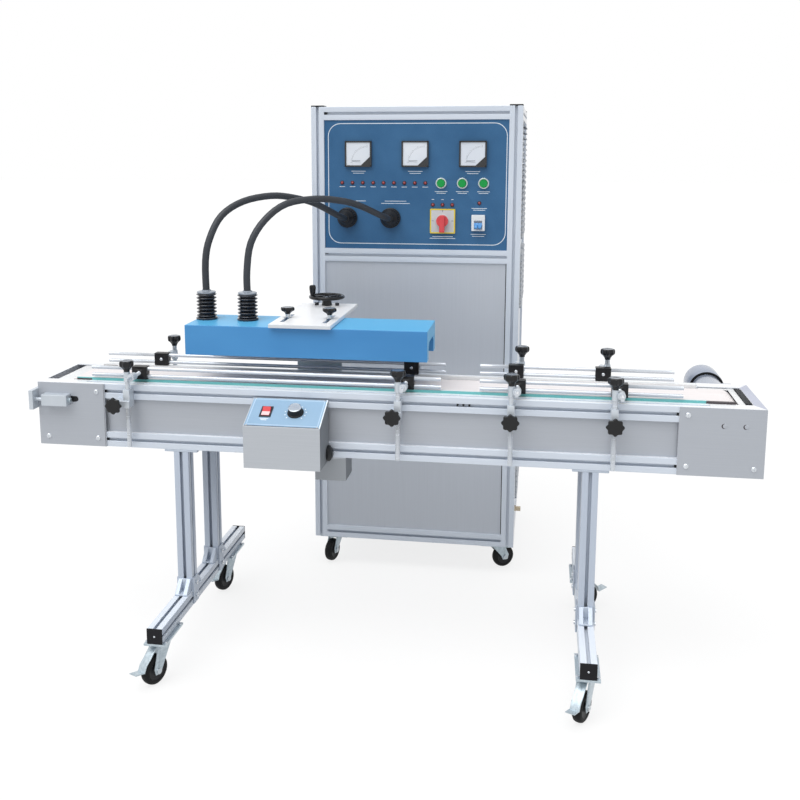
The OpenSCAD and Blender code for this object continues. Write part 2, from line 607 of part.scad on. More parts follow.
// smooth curve through the points, then rings of ten sides swept along it
function spline(p, i, t) = let (a = p[max(i - 1, 0)], b = p[i], c = p[i + 1], d = p[min(i + 2, len(p) - 1)])
  0.5 * (2 * b + (c - a) * t + (2 * a - 5 * b + 4 * c - d) * t * t + (3 * b - a - 3 * c + d) * t * t * t);
function unit(v) = v / norm(v);
module hose(points) {
  last = points[len(points) - 1];
  path = concat([for (i = [0 : len(points) - 2], t = [0, 0.5]) spline(points, i, t)], [last]);
  n = len(path);
  span = last - points[0];
  side = unit([span[1], -span[0], 0]);
  rings = [for (i = [0 : n - 1]) let (
    dir = i == 0 ? [0, 0, 1] : i == n - 1 ? [0, 1, 0] : unit(path[i + 1] - path[i - 1]),
    u = unit(side - (side * dir) * dir), v = cross(dir, u))
    for (k = [0 : 9]) path[i] + hose_d / 2 * (cos(36 * k) * u + sin(36 * k) * v)];
  polyhedron(rings, concat([[for (k = [0 : 9]) 9 - k]],
    [for (i = [0 : n - 2], k = [0 : 9]) each let (a = i * 10 + k, b = i * 10 + (k + 1) % 10)
      [[a, b, b + 10], [a, b + 10, a + 10]]],
    [[for (k = [0 : 9]) (n - 1) * 10 + k]]));
}
module hose_a() color("#3c4450") conv() hose(hose_a_points);
module hose_b() color("#3c4450") conv() hose(hose_b_points);

conveyor_frame();
side_panels();
slider_bed();
wear_strips();
conveyor_belt();
end_plates();
belt_tensioners();
gear_motor();
speed_box();
stand_brackets();
end_caps();
caster_plates();
lift_block();
guide_brackets();
guide_knobs();
cabinet_frame();
cabinet_panels();
control_panel();
panel_meters();
pilot_lamps();
switch_bases();
glands();
water_fittings();
hose_a();
hose_b();
power_unit();
fork_fl();
fork_fr();
fork_rl();
fork_rr();
cab_fork_l();
cab_fork_r();
wheel_fl();
wheel_fr();
wheel_rl();
wheel_rr();
cab_wheel_fl();
cab_wheel_fr();
cab_wheel_rl();
cab_wheel_rr();
drive_roller();
tail_roller();
handwheel();
head_plate();
sealing_head();
induction_coil();
bellows();
head_knobs();
cam_handle();
breaker_toggle();
button_1();
button_2();
button_3();
rocker();
speed_knob();
guide_fl();
guide_fr();
guide_rl();
guide_rr();
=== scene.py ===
import json
import math

import bmesh
import bpy
from mathutils import Matrix, Vector

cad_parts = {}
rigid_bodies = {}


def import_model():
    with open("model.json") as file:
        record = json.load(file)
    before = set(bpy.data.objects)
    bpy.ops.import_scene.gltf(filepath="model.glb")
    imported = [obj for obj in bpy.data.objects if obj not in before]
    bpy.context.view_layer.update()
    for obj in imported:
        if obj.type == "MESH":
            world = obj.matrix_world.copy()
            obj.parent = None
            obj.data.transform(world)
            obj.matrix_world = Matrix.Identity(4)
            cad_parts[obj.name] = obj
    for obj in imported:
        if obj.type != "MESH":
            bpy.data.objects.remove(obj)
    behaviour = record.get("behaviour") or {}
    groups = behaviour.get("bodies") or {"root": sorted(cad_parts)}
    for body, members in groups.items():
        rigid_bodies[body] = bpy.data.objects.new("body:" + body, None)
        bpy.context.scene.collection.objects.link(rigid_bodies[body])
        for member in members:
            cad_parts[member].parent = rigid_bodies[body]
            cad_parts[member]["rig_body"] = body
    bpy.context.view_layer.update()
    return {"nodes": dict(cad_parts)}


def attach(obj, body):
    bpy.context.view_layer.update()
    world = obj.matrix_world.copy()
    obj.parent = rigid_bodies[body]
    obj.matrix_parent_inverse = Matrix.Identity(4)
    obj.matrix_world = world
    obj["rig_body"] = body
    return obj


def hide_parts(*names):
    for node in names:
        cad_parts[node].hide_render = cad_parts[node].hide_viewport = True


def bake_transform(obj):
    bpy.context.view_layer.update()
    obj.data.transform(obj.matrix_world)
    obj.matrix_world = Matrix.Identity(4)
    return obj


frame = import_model()


# The studio: a pale floor under a white surround that is strongest overhead, and one wide soft lamp
# from the upper left. Cameras and mirrors see plain white, and the floor keeps the machine's shadow.
class Wire:
    """One socket of a node tree. Sums, products and powers of wires add Math nodes."""

    def __init__(self, tree, socket=None):
        self.tree, self.socket = tree, socket

    def link(self, value, end):
        """Feeds an input with a wire or with a plain value."""
        if isinstance(value, Wire):
            self.tree.links.new(value.socket, end)
        else:
            end.default_value = value

    def node(self, kind, settings=(), out=0, **values):
        """A new node. Values go to its inputs by name, or by number after an underscore."""
        made = self.tree.nodes.new(kind if "Node" in kind else self.tree.bl_idname[:-4] + kind)
        for key, value in dict(settings).items():
            setattr(made, key, value)
        for key, value in values.items():
            self.link(value, made.inputs[int(key[1:]) if key[0] == "_" else key.replace("_", " ")])
        return Wire(self.tree, made.outputs[out])

    def maths(self, operation, *terms):
        places = {f"_{i}": term for i, term in enumerate(terms)}
        return self.node("ShaderNodeMath", {"operation": operation}, **places)

    def __add__(self, other): return self.maths("ADD", self, other)
    def __sub__(self, other): return self.maths("SUBTRACT", self, other)
    def __rsub__(self, other): return self.maths("SUBTRACT", other, self)
    def __mul__(self, other): return self.maths("MULTIPLY", self, other)
    def __truediv__(self, other): return self.maths("DIVIDE", self, other)
    def __pow__(self, other): return self.maths("POWER", self, other)
    __radd__, __rmul__ = __add__, __mul__

    def vector(self, x=0.0, y=0.0, z=0.0):
        return self.node("ShaderNodeCombineXYZ", X=x, Y=y, Z=z)

    def between(self, low, high):
        """0 below low, 1 above high, and a straight climb from one to the other."""
        return self.node("ShaderNodeMapRange", {"clamp": True}, _0=self, _1=low, _2=high)

    def mix(self, first, second):
        """From the first colour to the second as this wire goes from 0 to 1."""
        return self.node("ShaderNodeMix", {"data_type": "RGBA"}, out=2, _0=self, _6=first, _7=second)

    def rays(self, *kinds):
        """1 for light paths of these kinds, 0 for others."""
        first, *more = [self.node("LightPath", out=f"Is {kind} Ray") for kind in kinds]
        return sum(more, first)


def hue(code):
    """A colour as it looks on a screen, in the linear values that the shaders use."""
    parts = [int(code[i:i + 2], 16) / 255 for i in (0, 2, 4)]
    return (*(p / 12.92 if p < 0.0405 else ((p + 0.055) / 1.055) ** 2.4 for p in parts), 1.0)


WHITE, PALE_GREY, MID_GREY = (1, 1, 1, 1), (0.9, 0.9, 0.9, 1), (0.5, 0.5, 0.5, 1)
scene = bpy.context.scene
scene.view_settings.view_transform = "Standard"
scene.world = bpy.data.worlds.new("white_surround")
scene.world.use_nodes = True
scene.world.node_tree.nodes.clear()
sky = Wire(scene.world.node_tree)
height = sky.node("SeparateXYZ", out="Z", Vector=sky.node("TexCoord", out="Generated")).between(0.0, 1.0)
glow = sky.node("Background", Color=WHITE, Strength=sky.maths(
    "MAXIMUM", sky.rays("Camera", "Glossy", "Transmission"), 0.38 + 0.78 * height))
sky.link(glow, sky.tree.nodes.new("ShaderNodeOutputWorld").inputs["Surface"])

lamp = bpy.data.objects.new("soft_lamp", bpy.data.lights.new("soft_lamp", "SUN"))
lamp.data.energy, lamp.data.angle = 1.8, math.radians(55)
lamp.rotation_euler = (math.radians(27), math.radians(-16), 0)
scene.collection.objects.link(lamp)

bm = bmesh.new()
bmesh.ops.create_grid(bm, x_segments=1, y_segments=1, size=40)
floor_mesh = bpy.data.meshes.new("floor")
bm.to_mesh(floor_mesh)
bm.free()
floor = bpy.data.objects.new("floor", floor_mesh)
floor.location.z = -0.0004
scene.collection.objects.link(floor)
paper = bpy.data.materials.new("pale_floor")
paper.use_nodes = True
sweep = Wire(paper.node_tree)
seen = sweep.rays("Camera", "Glossy")
lit = sweep.node("BsdfDiffuse", Color=seen.mix(MID_GREY, PALE_GREY))
plain = sweep.node("Emission", Color=WHITE, Strength=1.0)
sweep.link(sweep.node("MixShader", _0=0.8 * seen, _1=lit, _2=plain),
           sweep.tree.nodes["Material Output"].inputs["Surface"])
floor_mesh.materials.append(paper)

camera = bpy.data.objects.new("camera", bpy.data.cameras.new("camera"))
camera.location = (0.3956, -2.8813, 1.3284)
camera.rotation_euler = (math.pi / 2 - 0.167, 0, 0.162)
camera.data.sensor_width, camera.data.lens = 36, 44.909
camera.data.shift_x, camera.data.shift_y = 0.0260, -0.1008
scene.collection.objects.link(camera)
scene.camera = camera


# The T-slot bars of the conveyor, its two stands and the cabinet: extruded aluminium, satin anodised,
# sawn to length. The extrusion leaves faint die lines along each bar, so each bar direction has its own.
class Finish(Wire):
    """A material whose wires start from object coordinates and end in its one shader."""

    def __init__(self, name, **sockets):
        self.material = bpy.data.materials.new(name)
        self.material.use_nodes = True
        super().__init__(self.material.node_tree)
        self.shader = self.tree.nodes["Principled BSDF"]
        self.place = self.node("TexCoord", out="Object")
        self.feed(**sockets)

    def feed(self, **sockets):
        for key, value in sockets.items():
            self.link(value, self.shader.inputs[key.replace("_", " ")])
        return self

    def noise(self, scale, stretch=(1, 1, 1), detail=2.0):
        spread = self.node("Mapping", Vector=self.place, Scale=stretch)
        return self.node("TexNoise", Vector=spread, Scale=scale, Detail=detail, Roughness=0.55)

    def skimmed(self, start, full):
        """The mask of the painted sheens: 0 where the surface is seen face on, 1 where it is seen at a low
        angle.
        """
        return self.node("LayerWeight", out="Facing", Blend=0.5).between(start, full)

    def bump(self, height, strength, depth):
        return self.feed(Normal=self.node("Bump", Height=height, Strength=strength, Distance=depth))


def lined(name, along, pale, dark, fine, rough, metal, depth=0.25, painted_sheen_tint="f6f7f9"):
    """Metal with fine lines along x, y or z, drawn, brushed or extruded, and a painted sheen that pales it at
    a low angle.
    """
    f = Finish(name, Metallic=metal)
    stretch = [fine] * 3
    stretch["xyz".index(along)] = fine / 130
    lines = f.noise(1.0, stretch, 3.0)
    cloud = f.noise(2.3, detail=1.0)
    face_on = (0.65 * lines + 0.35 * cloud).between(0.3, 0.7).mix(hue(dark), hue(pale))
    # painted sheen: the colour turns to the sheen tint where the surface is seen at a low angle
    f.feed(Base_Color=f.skimmed(0.5, 0.86).mix(face_on, hue(painted_sheen_tint)),
           Roughness=rough - 0.06 + 0.14 * lines + 0.05 * cloud)
    return f.bump(lines, depth, 0.0002)


def conv(x, y, z):
    """A point from the conveyor's middle at floor level, in millimetres, as a point of the scene."""
    return Vector((x + 6, y - 330.065, z)) / 1000


def cab(x, y, z):
    """A point from the foot of the cabinet's front face, in millimetres, as a point of the scene."""
    return Vector((x + 11, y + 142.935, z)) / 1000


def settle(made, body, instead, turn=38):
    """Smooths a mesh between its sharp edges and lets it ride on its body in place of CAD solids."""
    made.data.polygons.foreach_set("use_smooth", [True] * len(made.data.polygons))
    made.data.set_sharp_from_angle(angle=math.radians(turn))
    if body:
        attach(made, body)
    if instead:
        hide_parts(*instead)
    return made


def piece(name, bm, body, *finishes, slot=None, instead=(), turn=38, fresh=True):
    """Closes a mesh under its name, dresses and settles it. A fresh mesh has its faces turned outward."""
    if fresh:
        bmesh.ops.recalc_face_normals(bm, faces=bm.faces)
    mesh = bpy.data.meshes.new(name)
    bm.to_mesh(mesh)
    bm.free()
    for f in finishes:
        mesh.materials.append(f.material)
    made = bpy.data.objects.new(name, mesh)
    scene.collection.objects.link(made)
    return settle(made, body, instead, turn)


def eased(node, slot, *finishes, width=0.0008, pick=None):
    """A CAD solid with its triangles joined into faces and its long edges slightly rounded."""
    solid = frame["nodes"][node]
    bm = bmesh.new()
    bm.from_mesh(solid.data)
    bmesh.ops.remove_doubles(bm, verts=bm.verts, dist=2e-6)
    bmesh.ops.dissolve_limit(bm, angle_limit=math.radians(0.5), verts=bm.verts, edges=bm.edges)
    bmesh.ops.connect_verts_concave(bm, faces=bm.faces)
    long_edges = [e for e in bm.edges if len(e.link_faces) == 2 and e.is_convex
                  and e.calc_face_angle(0) > math.radians(50) and e.calc_length() > 1.3 * width]
    bmesh.ops.bevel(bm, geom=long_edges, offset=width, segments=2, profile=0.5, affect="EDGES",
                    clamp_overlap=False)
    for face in bm.faces:
        face.material_index = pick(face.calc_center_median(), face.normal) if pick else 0
    made = piece(node + "_eased", bm, solid["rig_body"], *finishes, slot=slot, instead=[node], turn=20,
                 fresh=False)
    spare = made.data.attributes.get("custom_normal")
    if spare:
        made.data.attributes.remove(spare)
    return made


FOOT_TOP, POST_TOP = 0.157, 0.5445
bars = [lined("anodised_bar_" + a, a, "d8e0eb", "ccd5e1", 900, 0.36, 0.25, 0.12) for a in "xyz"]
# The stand posts take a darker copy of the bar finish, painted shade under the conveyor. The feet take a
# darker copy on their sides, painted shade, and a paler one on their tops, painted light.
post_bar_painted_shade = lined("anodised_post", "z", "bcc6d4", "b0bac9", 900, 0.38, 0.2, 0.12, "dfe5ec")
foot_side_painted_shade = lined("anodised_foot", "y", "b3becd", "a7b2c2", 900, 0.38, 0.2, 0.12, "dfe5ec")
foot_top_painted_light = lined("anodised_foot_top", "y", "dfe6ef", "d6deea", 900, 0.36, 0.1, 0.12, "e6ecf3")


def conveyor_bar(c, n):
    if c.z < FOOT_TOP:
        return 5 if n.z > 0.5 else 4
    if c.z < POST_TOP:
        return 3
    return 1 if abs(c.y - conv(0, 0, 0).y) < 0.0885 else 0


def cabinet_bar(c, n):
    if abs(c.x - cab(0, 0, 0).x) < 0.2795:
        return 0
    return 1 if cab(0, 40.5, 0).y < c.y < cab(0, 549.5, 0).y else 2


eased("conveyor_frame", "profile_aluminium", *bars, post_bar_painted_shade, foot_side_painted_shade, foot_top_painted_light, width=0.0012,
      pick=conveyor_bar)
eased("cabinet_frame", "profile_aluminium", *bars, width=0.0012, pick=cabinet_bar)


# The joints of the stands: cast angle brackets, flat joining plates, top plates and black press-in end
# caps. Button-head and socket screws in zinc hold them, and each foot cap shows the end of its screw.
def grained(name, pale, dark, rough, metal=0.0, scale=900, depth=0.12, painted_edge_sheen=None, shine=0.5,
            coat=0.0):
    """Cast, moulded or painted stuff: a soft mottle, a fine grain, and maybe a painted sheen that pales it at
    a low angle.
    """
    f = Finish(name, Metallic=metal, Specular_IOR_Level=shine, Coat_Weight=coat)
    cloud = f.noise(7.0, detail=3.0)
    grain = f.noise(scale, detail=2.0)
    colour = (0.75 * cloud + 0.25 * grain).between(0.35, 0.65).mix(hue(dark), hue(pale))
    # painted sheen: the colour turns to the given tint where the surface is seen at a low angle
    if painted_edge_sheen:
        colour = f.skimmed(0.62, 0.92).mix(colour, hue(painted_edge_sheen))
    f.feed(Base_Color=colour, Roughness=rough - 0.05 + 0.1 * cloud)
    return f.bump(grain, depth, 0.0003)


UP, FRONT, LEFT, RIGHT = (0, 0, 1), (0, -1, 0), (-1, 0, 0), (1, 0, 0)


def facing(at, out, along=UP):
    """A place on a surface: z out of it, y as near as can be to the direction along."""
    z = Vector(out).normalized()
    x = Vector(along).cross(z)
    x = x.normalized() if x.length > 1e-6 else Vector((1, 0, 0))
    turned_to = Matrix((x, z.cross(x), z)).transposed().to_4x4()
    turned_to.translation = at
    return turned_to


def upright(x, y, z):
    """A place on the conveyor that faces up."""
    return facing(conv(x, y, z), UP)


def outside(x, y, z):
    """A place on the conveyor's front or rear that faces away from its middle."""
    return facing(conv(x, y, z), (0, math.copysign(1, y), 0))


def grown(name, tree, places, body, finish, slot=None, instead=(), sizes=(), **inputs):
    """Runs a node tree over a set of places and keeps the result as one plain mesh on a body."""
    points = bpy.data.meshes.new(name)
    points.from_pydata([p.translation for p in places], [], [])
    turn = points.attributes.new("turn", "FLOAT_VECTOR", "POINT")
    size = points.attributes.new("size", "FLOAT_VECTOR", "POINT")
    for i, p in enumerate(places):
        turn.data[i].vector = p.to_euler()
        size.data[i].vector = sizes[i] if sizes else (1, 1, 1)
    made = bpy.data.objects.new(name, points)
    scene.collection.objects.link(made)
    run = made.modifiers.new("grown", "NODES")
    run.node_group = tree
    ends = {s.name: s.identifier for s in tree.interface.items_tree if s.in_out == "INPUT"}
    for key, value in {**inputs, "Finish": finish.material}.items():
        run[ends[key]] = value
    ready = bpy.context.evaluated_depsgraph_get()
    plain_mesh = bpy.data.meshes.new_from_object(made.evaluated_get(ready), depsgraph=ready)
    made.modifiers.clear()
    made.data = plain_mesh
    plain_mesh.name = name
    plain_mesh.validate()
    return settle(made, body, instead)


def planted(name, shape, *lengths, **others):
    """A node tree that sets one shape on every point of a mesh, turned and sized by its attributes."""
    tree = bpy.data.node_groups.new(name, "GeometryNodeTree")
    kinds = {"Geometry": "Geometry", **dict.fromkeys(lengths, "Float"), **others, "Finish": "Material"}
    for key, kind in kinds.items():
        tree.interface.new_socket(key, in_out="INPUT", socket_type="NodeSocket" + kind)
    tree.interface.new_socket("Geometry", in_out="OUTPUT", socket_type="NodeSocketGeometry")
    w = Wire(tree)
    given = {key: w.node("NodeGroupInput", out=key) for key in kinds}
    named = {key: w.node("InputNamedAttribute", {"data_type": "FLOAT_VECTOR"}, Name=key)
             for key in ("turn", "size")}
    spread = w.node("InstanceOnPoints", Points=given["Geometry"], Instance=shape(w, given),
                    Rotation=w.node("FunctionNodeEulerToRotation", Euler=named["turn"]), Scale=named["size"])
    solid = w.node("SetMaterial", Geometry=w.node("RealizeInstances", Geometry=spread),
                   Material=given["Finish"])
    w.link(solid, tree.nodes.new("NodeGroupOutput").inputs[0])
    return tree


def socket_head(w, given):
    """A cylinder head with a hexagon socket sunk in its top."""
    head = w.node("MeshCylinder", Vertices=20, Radius=given["Radius"], Depth=2 * given["Height"])
    hexagon = w.node("MeshCylinder", Vertices=6, Radius=0.5 * given["Radius"], Depth=given["Height"])
    tool = w.node("Transform", Geometry=hexagon, Translation=w.vector(z=given["Height"]))
    return w.node("MeshBoolean", {"operation": "DIFFERENCE"}, Mesh_1=head, Mesh_2=tool)


def domed_head(w, given):
    """A low dome with a cross recess. One bar of the cross is deeper, so no two faces coincide."""
    ball = w.node("MeshUVSphere", Segments=20, Rings=10, Radius=given["Radius"])
    head = w.node("Transform", Geometry=ball, Scale=w.vector(1.0, 1.0, given["Height"] / given["Radius"]))
    long, slim = 1.1 * given["Radius"], 0.22 * given["Radius"]
    first, second = [w.node("MeshCube", Size=w.vector(a, b, deep * given["Height"]))
                     for a, b, deep in ((long, slim, 1.0), (slim, long, 1.07))]
    both = w.node("MeshBoolean", {"operation": "UNION"}, Mesh_2=first)
    w.link(second, both.socket.node.inputs["Mesh 2"])
    cross = w.node("Transform", Geometry=both, Translation=w.vector(z=1.1 * given["Height"]))
    return w.node("MeshBoolean", {"operation": "DIFFERENCE"}, Mesh_1=head, Mesh_2=cross)


screw_tree = planted("socket_screws", socket_head, "Radius", "Height")
dome_tree = planted("dome_screws", domed_head, "Radius", "Height")
cast_silver = grained("cast_silver", "d3d9e0", "bfc7cf", 0.42, 0.45)
bracket_silver = grained("bracket_silver", "bec8d5", "b0bac8", 0.42, 0.3)
zinc = lined("bright_zinc", "y", "c6d2d9", "9dabb4", 160, 0.32, 0.6, 0.08, "d3dde3")
cap_black = grained("cap_black", "1d1e22", "131417", 0.5, shine=0.2)
screw_zinc = lined("screw_zinc", "z", "e6eaee", "b4bbc3", 400, 0.24, 0.85, 0.05)
eased("stand_brackets", "bright_aluminium", bracket_silver, width=0.0012)
eased("end_caps", "black_plastic", cap_black, width=0.001)
eased("caster_plates", "zinc_steel", zinc)


def screws(name, tree, places, r, h, body="frame", finish=screw_zinc):
    """A set of screws of one size on a body."""
    grown(name, tree, places, body, finish, "zinc_steel", Radius=r, Height=h)


STANDS = (-537, 523)
bracket_places = [facing(conv(x + 24 * d, 109 * s, z), (d, 0, 0))
                  for x in STANDS for s in (-1, 1) for d in (-1, 1) for z in (138, 174)]
screws("stand_screws", screw_tree, bracket_places, 0.0055, 0.004)
plate_places = [upright(x + dx, y, 116) for x in STANDS for ends in ((-241, -342), (202, 303))
                for dx in (-24.6, 24.6) for y in ends]
screws("caster_screws", screw_tree, plate_places, 0.004, 0.003)
cap_places = [outside(x, y, 136) for x in STANDS for y in (-354, 354)]
screws("foot_cap_screws", dome_tree, cap_places, 0.0027, 0.0014)


# The casters: pressed zinc forks with a brake pedal on a ball-race head, and solid black tyres on
# moulded hubs. The two back wheels of the cabinet stand in fixed forks and only roll.
def turned(bm, place, rows, steps=32, slot=0, lobes=0):
    """Turns rows of (radius, height) round the z axis of a place; a third value cuts lobes into a row."""
    rings = []
    for row in rows:
        r, z, cut = (*row, 0)[:3]
        if r == 0:
            rings.append([bm.verts.new(place @ Vector((0, 0, z)))])
            continue
        ring = []
        for k in range(steps):
            a = 2 * math.pi * k / steps
            grow = r * (1 - cut * (0.5 - 0.5 * math.cos(lobes * a)))
            ring.append(bm.verts.new(place @ Vector((grow * math.cos(a), grow * math.sin(a), z))))
        rings.append(ring)
    for low, top in zip(rings, rings[1:]):
        for k in range(steps):
            corners = [low[k % len(low)], low[(k + 1) % len(low)],
                       top[(k + 1) % len(top)], top[k % len(top)]]
            corners = list(dict.fromkeys(corners))
            if len(corners) > 2:
                bm.faces.new(corners).material_index = slot
    return bm


def joined(bm):
    """Closes the seams between surfaces that meet in the same points."""
    bmesh.ops.remove_doubles(bm, verts=bm.verts, dist=1e-6)
    return bm


tyre = grained("tyre_rubber", "17181a", "0e0f10", 0.62, scale=1400, depth=0.3, shine=0.2)
hub_black = grained("hub_black", "222327", "17181b", 0.45, shine=0.25)
axle_steel = lined("axle_steel", "x", "cdd3d8", "9ea6ad", 500, 0.28, 0.9, 0.05)

TRAIL = 0.028
CASTERS = [("fl", "fork_fl", "wheel_fl", conv(-537, -308, 0), 245, 0.038),
           ("fr", "fork_fr", "wheel_fr", conv(523, -308, 0), 245, 0.038),
           ("rl", "fork_rl", "wheel_rl", conv(-537, 252, 0), 250, 0.038),
           ("rr", "fork_rr", "wheel_rr", conv(523, 252, 0), 40, 0.038),
           ("cab_l", "cab_fork_l", "cab_wheel_fl", cab(-262, 53, 0), 253, 0.036),
           ("cab_r", "cab_fork_r", "cab_wheel_fr", cab(262, 53, 0), 33, 0.036),
           ("cab_rl", None, "cab_wheel_rl", cab(-262, 509, 0), 90, 0.036),
           ("cab_rr", None, "cab_wheel_rr", cab(262, 509, 0), 90, 0.036)]
for key, fork, wheel, foot, heading, r in CASTERS:
    a = math.radians(heading)
    ahead, across = Vector((math.cos(a), math.sin(a), 0)), Vector((-math.sin(a), math.cos(a), 0))
    axle = foot + TRAIL * ahead + Vector((0, 0, r))
    bm = bmesh.new()
    half = [(r - 0.012, 0.0118), (r - 0.0105, 0.012), (r - 0.0045, 0.0108), (r - 0.0016, 0.0085),
            (r - 0.0003, 0.0045), (r, 0.0)]
    turned(bm, facing(axle, across), half + [(q, -z) for q, z in half[-2::-1]], 48, 0)
    for s in (-1, 1):
        turned(bm, facing(axle, s * across), [
            (r - 0.012, 0.0118), (r - 0.0128, 0.0105), (r - 0.017, 0.0095), (0.0125, 0.0095),
            (0.0115, 0.0105), (0.0105, 0.0116), (0.0047, 0.0116), (0.0047, 0)], 48, 1)
    piece("caster_wheel_" + key, joined(bm), "roll_" + key, tyre, hub_black, slot="tyre_rubber",
          instead=[wheel])
    if fork:
        eased(fork, "zinc_steel", zinc, width=0.0007)
    nuts = [facing(axle + s * 0.0166 * across, s * across) for s in (-1, 1)]
    carrier = "caster_" + key if fork else "frame"
    screws("axle_nuts_" + key, screw_tree, nuts, 0.0075, 0.0036, carrier, axle_steel)


# The conveyor walls and bed: brushed stainless sheet let in between the rails, a folded slider bed, and
# two low-friction strips beside the belt, teal outside and pale on top, that end in short dark keepers.
stainless_x = lined("brushed_stainless", "x", "b4b9c1", "adb2ba", 700, 0.36, 0.3, 0.1)
strip_teal = grained("strip_teal", "74c2c1", "66b5b6", 0.45, scale=500)
strip_pale = grained("strip_pale", "dcddde", "d1d3d5", 0.45, scale=500)
# The keepers' dark also paints shade: in the bearing holes and along the front of the speed plate.
keeper_dark = grained("keeper_dark", "4a4347", "332f33", 0.5)
eased("side_panels", "stainless_sheet", stainless_x, width=0.0005)
eased("slider_bed", "stainless_sheet", stainless_x, width=0.0004)


def strip_face(c, n):
    off_middle = c.y - conv(0, 0, 0).y
    if abs(n.x) > 0.9:
        return 1
    return 0 if n.y * off_middle > 0.5 * abs(off_middle) else 2


eased("wear_strips", "teal_strip", strip_teal, keeper_dark, strip_pale, width=0.0006, pick=strip_face)


def brick(bm, low, high, place=None, ease=0.0, slot=0):
    """A block from corner to corner in a place's own axes, with its edges eased."""
    low, high = Vector(low), Vector(high)
    fit = Matrix.Translation((low + high) / 2) @ Matrix.Diagonal((*(high - low), 1))
    made = bmesh.ops.create_cube(bm, size=1, matrix=(place or Matrix()) @ fit)
    faces = {f for v in made["verts"] for f in v.link_faces}
    for f in faces:
        f.material_index = slot
    if ease:
        edges = list({e for f in faces for e in f.edges})
        bmesh.ops.bevel(bm, geom=edges, offset=ease, segments=2, profile=0.5, affect="EDGES",
                        clamp_overlap=False, material=slot)
    return bm


STRIP_Y, STRIP_HALF = 83, 6.4
bm = bmesh.new()
for s, x0, x1 in ((-1, -838, -795), (1, -838, -795), (-1, 795, 864)):
    brick(bm, conv(x0, s * STRIP_Y - STRIP_HALF, 720.6), conv(x1, s * STRIP_Y + STRIP_HALF, 726), ease=0.0003)
piece("strip_keepers", bm, "frame", keeper_dark, slot="black_plastic")


# The belt: a pale endless band with a fine lengthwise weave, run over a rubber-lagged drive roller and
# a turned steel tail roller. Pale nose bars close both ends of its bed, and at the delivery end a ribbed
# rubber strip fills the gap to the end wall.
belt = Finish("woven_belt", Metallic=0.0, Specular_IOR_Level=0.25)
weave = belt.noise(1.0, (9, 420, 420), 3.0)
patch = belt.noise(3.0, (1, 2.5, 1), 2.0)
belt.feed(Base_Color=(0.7 * weave + 0.3 * patch).between(0.32, 0.7).mix(hue("d7d1d1"), hue("e5e1e1")),
          Roughness=0.55 + 0.2 * weave)
belt.bump(weave, 0.3, 0.0003)
lagging = grained("lagging_rubber", "33363a", "222427", 0.6, scale=600, depth=0.4)
roller_steel = lined("roller_steel", "x", "a4abb2", "878e96", 600, 0.3, 0.9, 0.1)
for node, finish in (("conveyor_belt", belt), ("drive_roller", lagging), ("tail_roller", roller_steel)):
    solid = frame["nodes"][node]
    solid.data.materials.clear()
    solid.data.materials.append(finish.material)


def rib_bar(w, given):
    return w.node("MeshCube", Size=w.vector(given["Length"], given["Width"], given["Height"]))


def ribs(name, places, finish, long, wide, high, slot=None, sizes=()):
    """A set of small blocks of one size, or each stretched by its own factors."""
    grown(name, rib_tree, places, "frame", finish, slot, sizes=sizes, Length=long, Width=wide, Height=high)


rib_tree = planted("rib_bars", rib_bar, "Length", "Width", "Height")
gap_places = [upright(897.4, -72 + 6 * i, 719.4) for i in range(25)]
ribs("gap_ribs", gap_places, lagging, 0.0148, 0.0036, 0.005, "drive_rubber")
bm = brick(bmesh.new(), conv(889.8, -76, 711), conv(905.2, 76, 719), ease=0.0006)
piece("gap_strip", bm, "frame", lagging, slot="drive_rubber")
bm = brick(bmesh.new(), conv(873, -93, 717.8), conv(889, 93, 719.5), ease=0.0006)
brick(bm, conv(-897, -93, 717.4), conv(-853, 93, 719.2), ease=0.0006)
brick(bm, conv(800, 76, 717.4), conv(873, 90, 719.2), ease=0.0004)
piece("nose_bars", bm, "frame", strip_pale, slot="stainless_sheet")


# The end plates and belt tensioners: stainless cheeks over the roller bearings, held by domed screws. The
# left pair has a slot where a bolt through an end bracket pulls the take-up block. Dark nuts sit in the
# slots of the bars where something is fastened, and beside the end plates they also paint the shade at
# the ends of the slots. Dark inlays paint the shade deep in the take-up slots, and a thin dark strip runs
# up beside the left front end plate.
AXLE_Z = 678
TAKE_UP_X, BRACKET_X = -824, -942


def shift(x, y, z):
    return Matrix.Translation((x, y, z))


def stub(r, high, low=0):
    """The rows of a plain round bar."""
    return [(0, low), (r, low), (r, high), (0, high)]


nut_dark = grained("nut_dark", "202226", "131417", 0.5, 0.2)
end_top = grained("end_wall_top", "b6bac9", "abb0c0", 0.4, 0.2)
eased("end_plates", "stainless_sheet", stainless_x, end_top, width=0.0007,
      pick=lambda c, n: 1 if c.x > conv(906, 0, 0).x and n.z > 0.9 else 0)
eased("belt_tensioners", "bright_aluminium", cast_silver, width=0.0012)
cheek_places = [outside(x, y, z) for y in (-133, 133) for x, z in (
    (-765, 700), (-905, 574), (-765, 574), (748, 702), (748, 574), (906, 574))]
screws("plate_screws", dome_tree, cheek_places, 0.007, 0.0036)
bm = bmesh.new()
# Dark T-nuts in the slots beside the end plates; their dark also paints the shade at the slot ends.
for x, z in ((-743, 702), (-743, 571), (726, 702), (726, 571)):
    brick(bm, conv(x - 3, -124.4, z - 6), conv(x + 3, -118.4, z + 6), ease=0.0005)
# A thin dark strip up beside the left front end plate.
brick(bm, conv(-744.8, -133, 553), conv(-743.9, -127, 720))
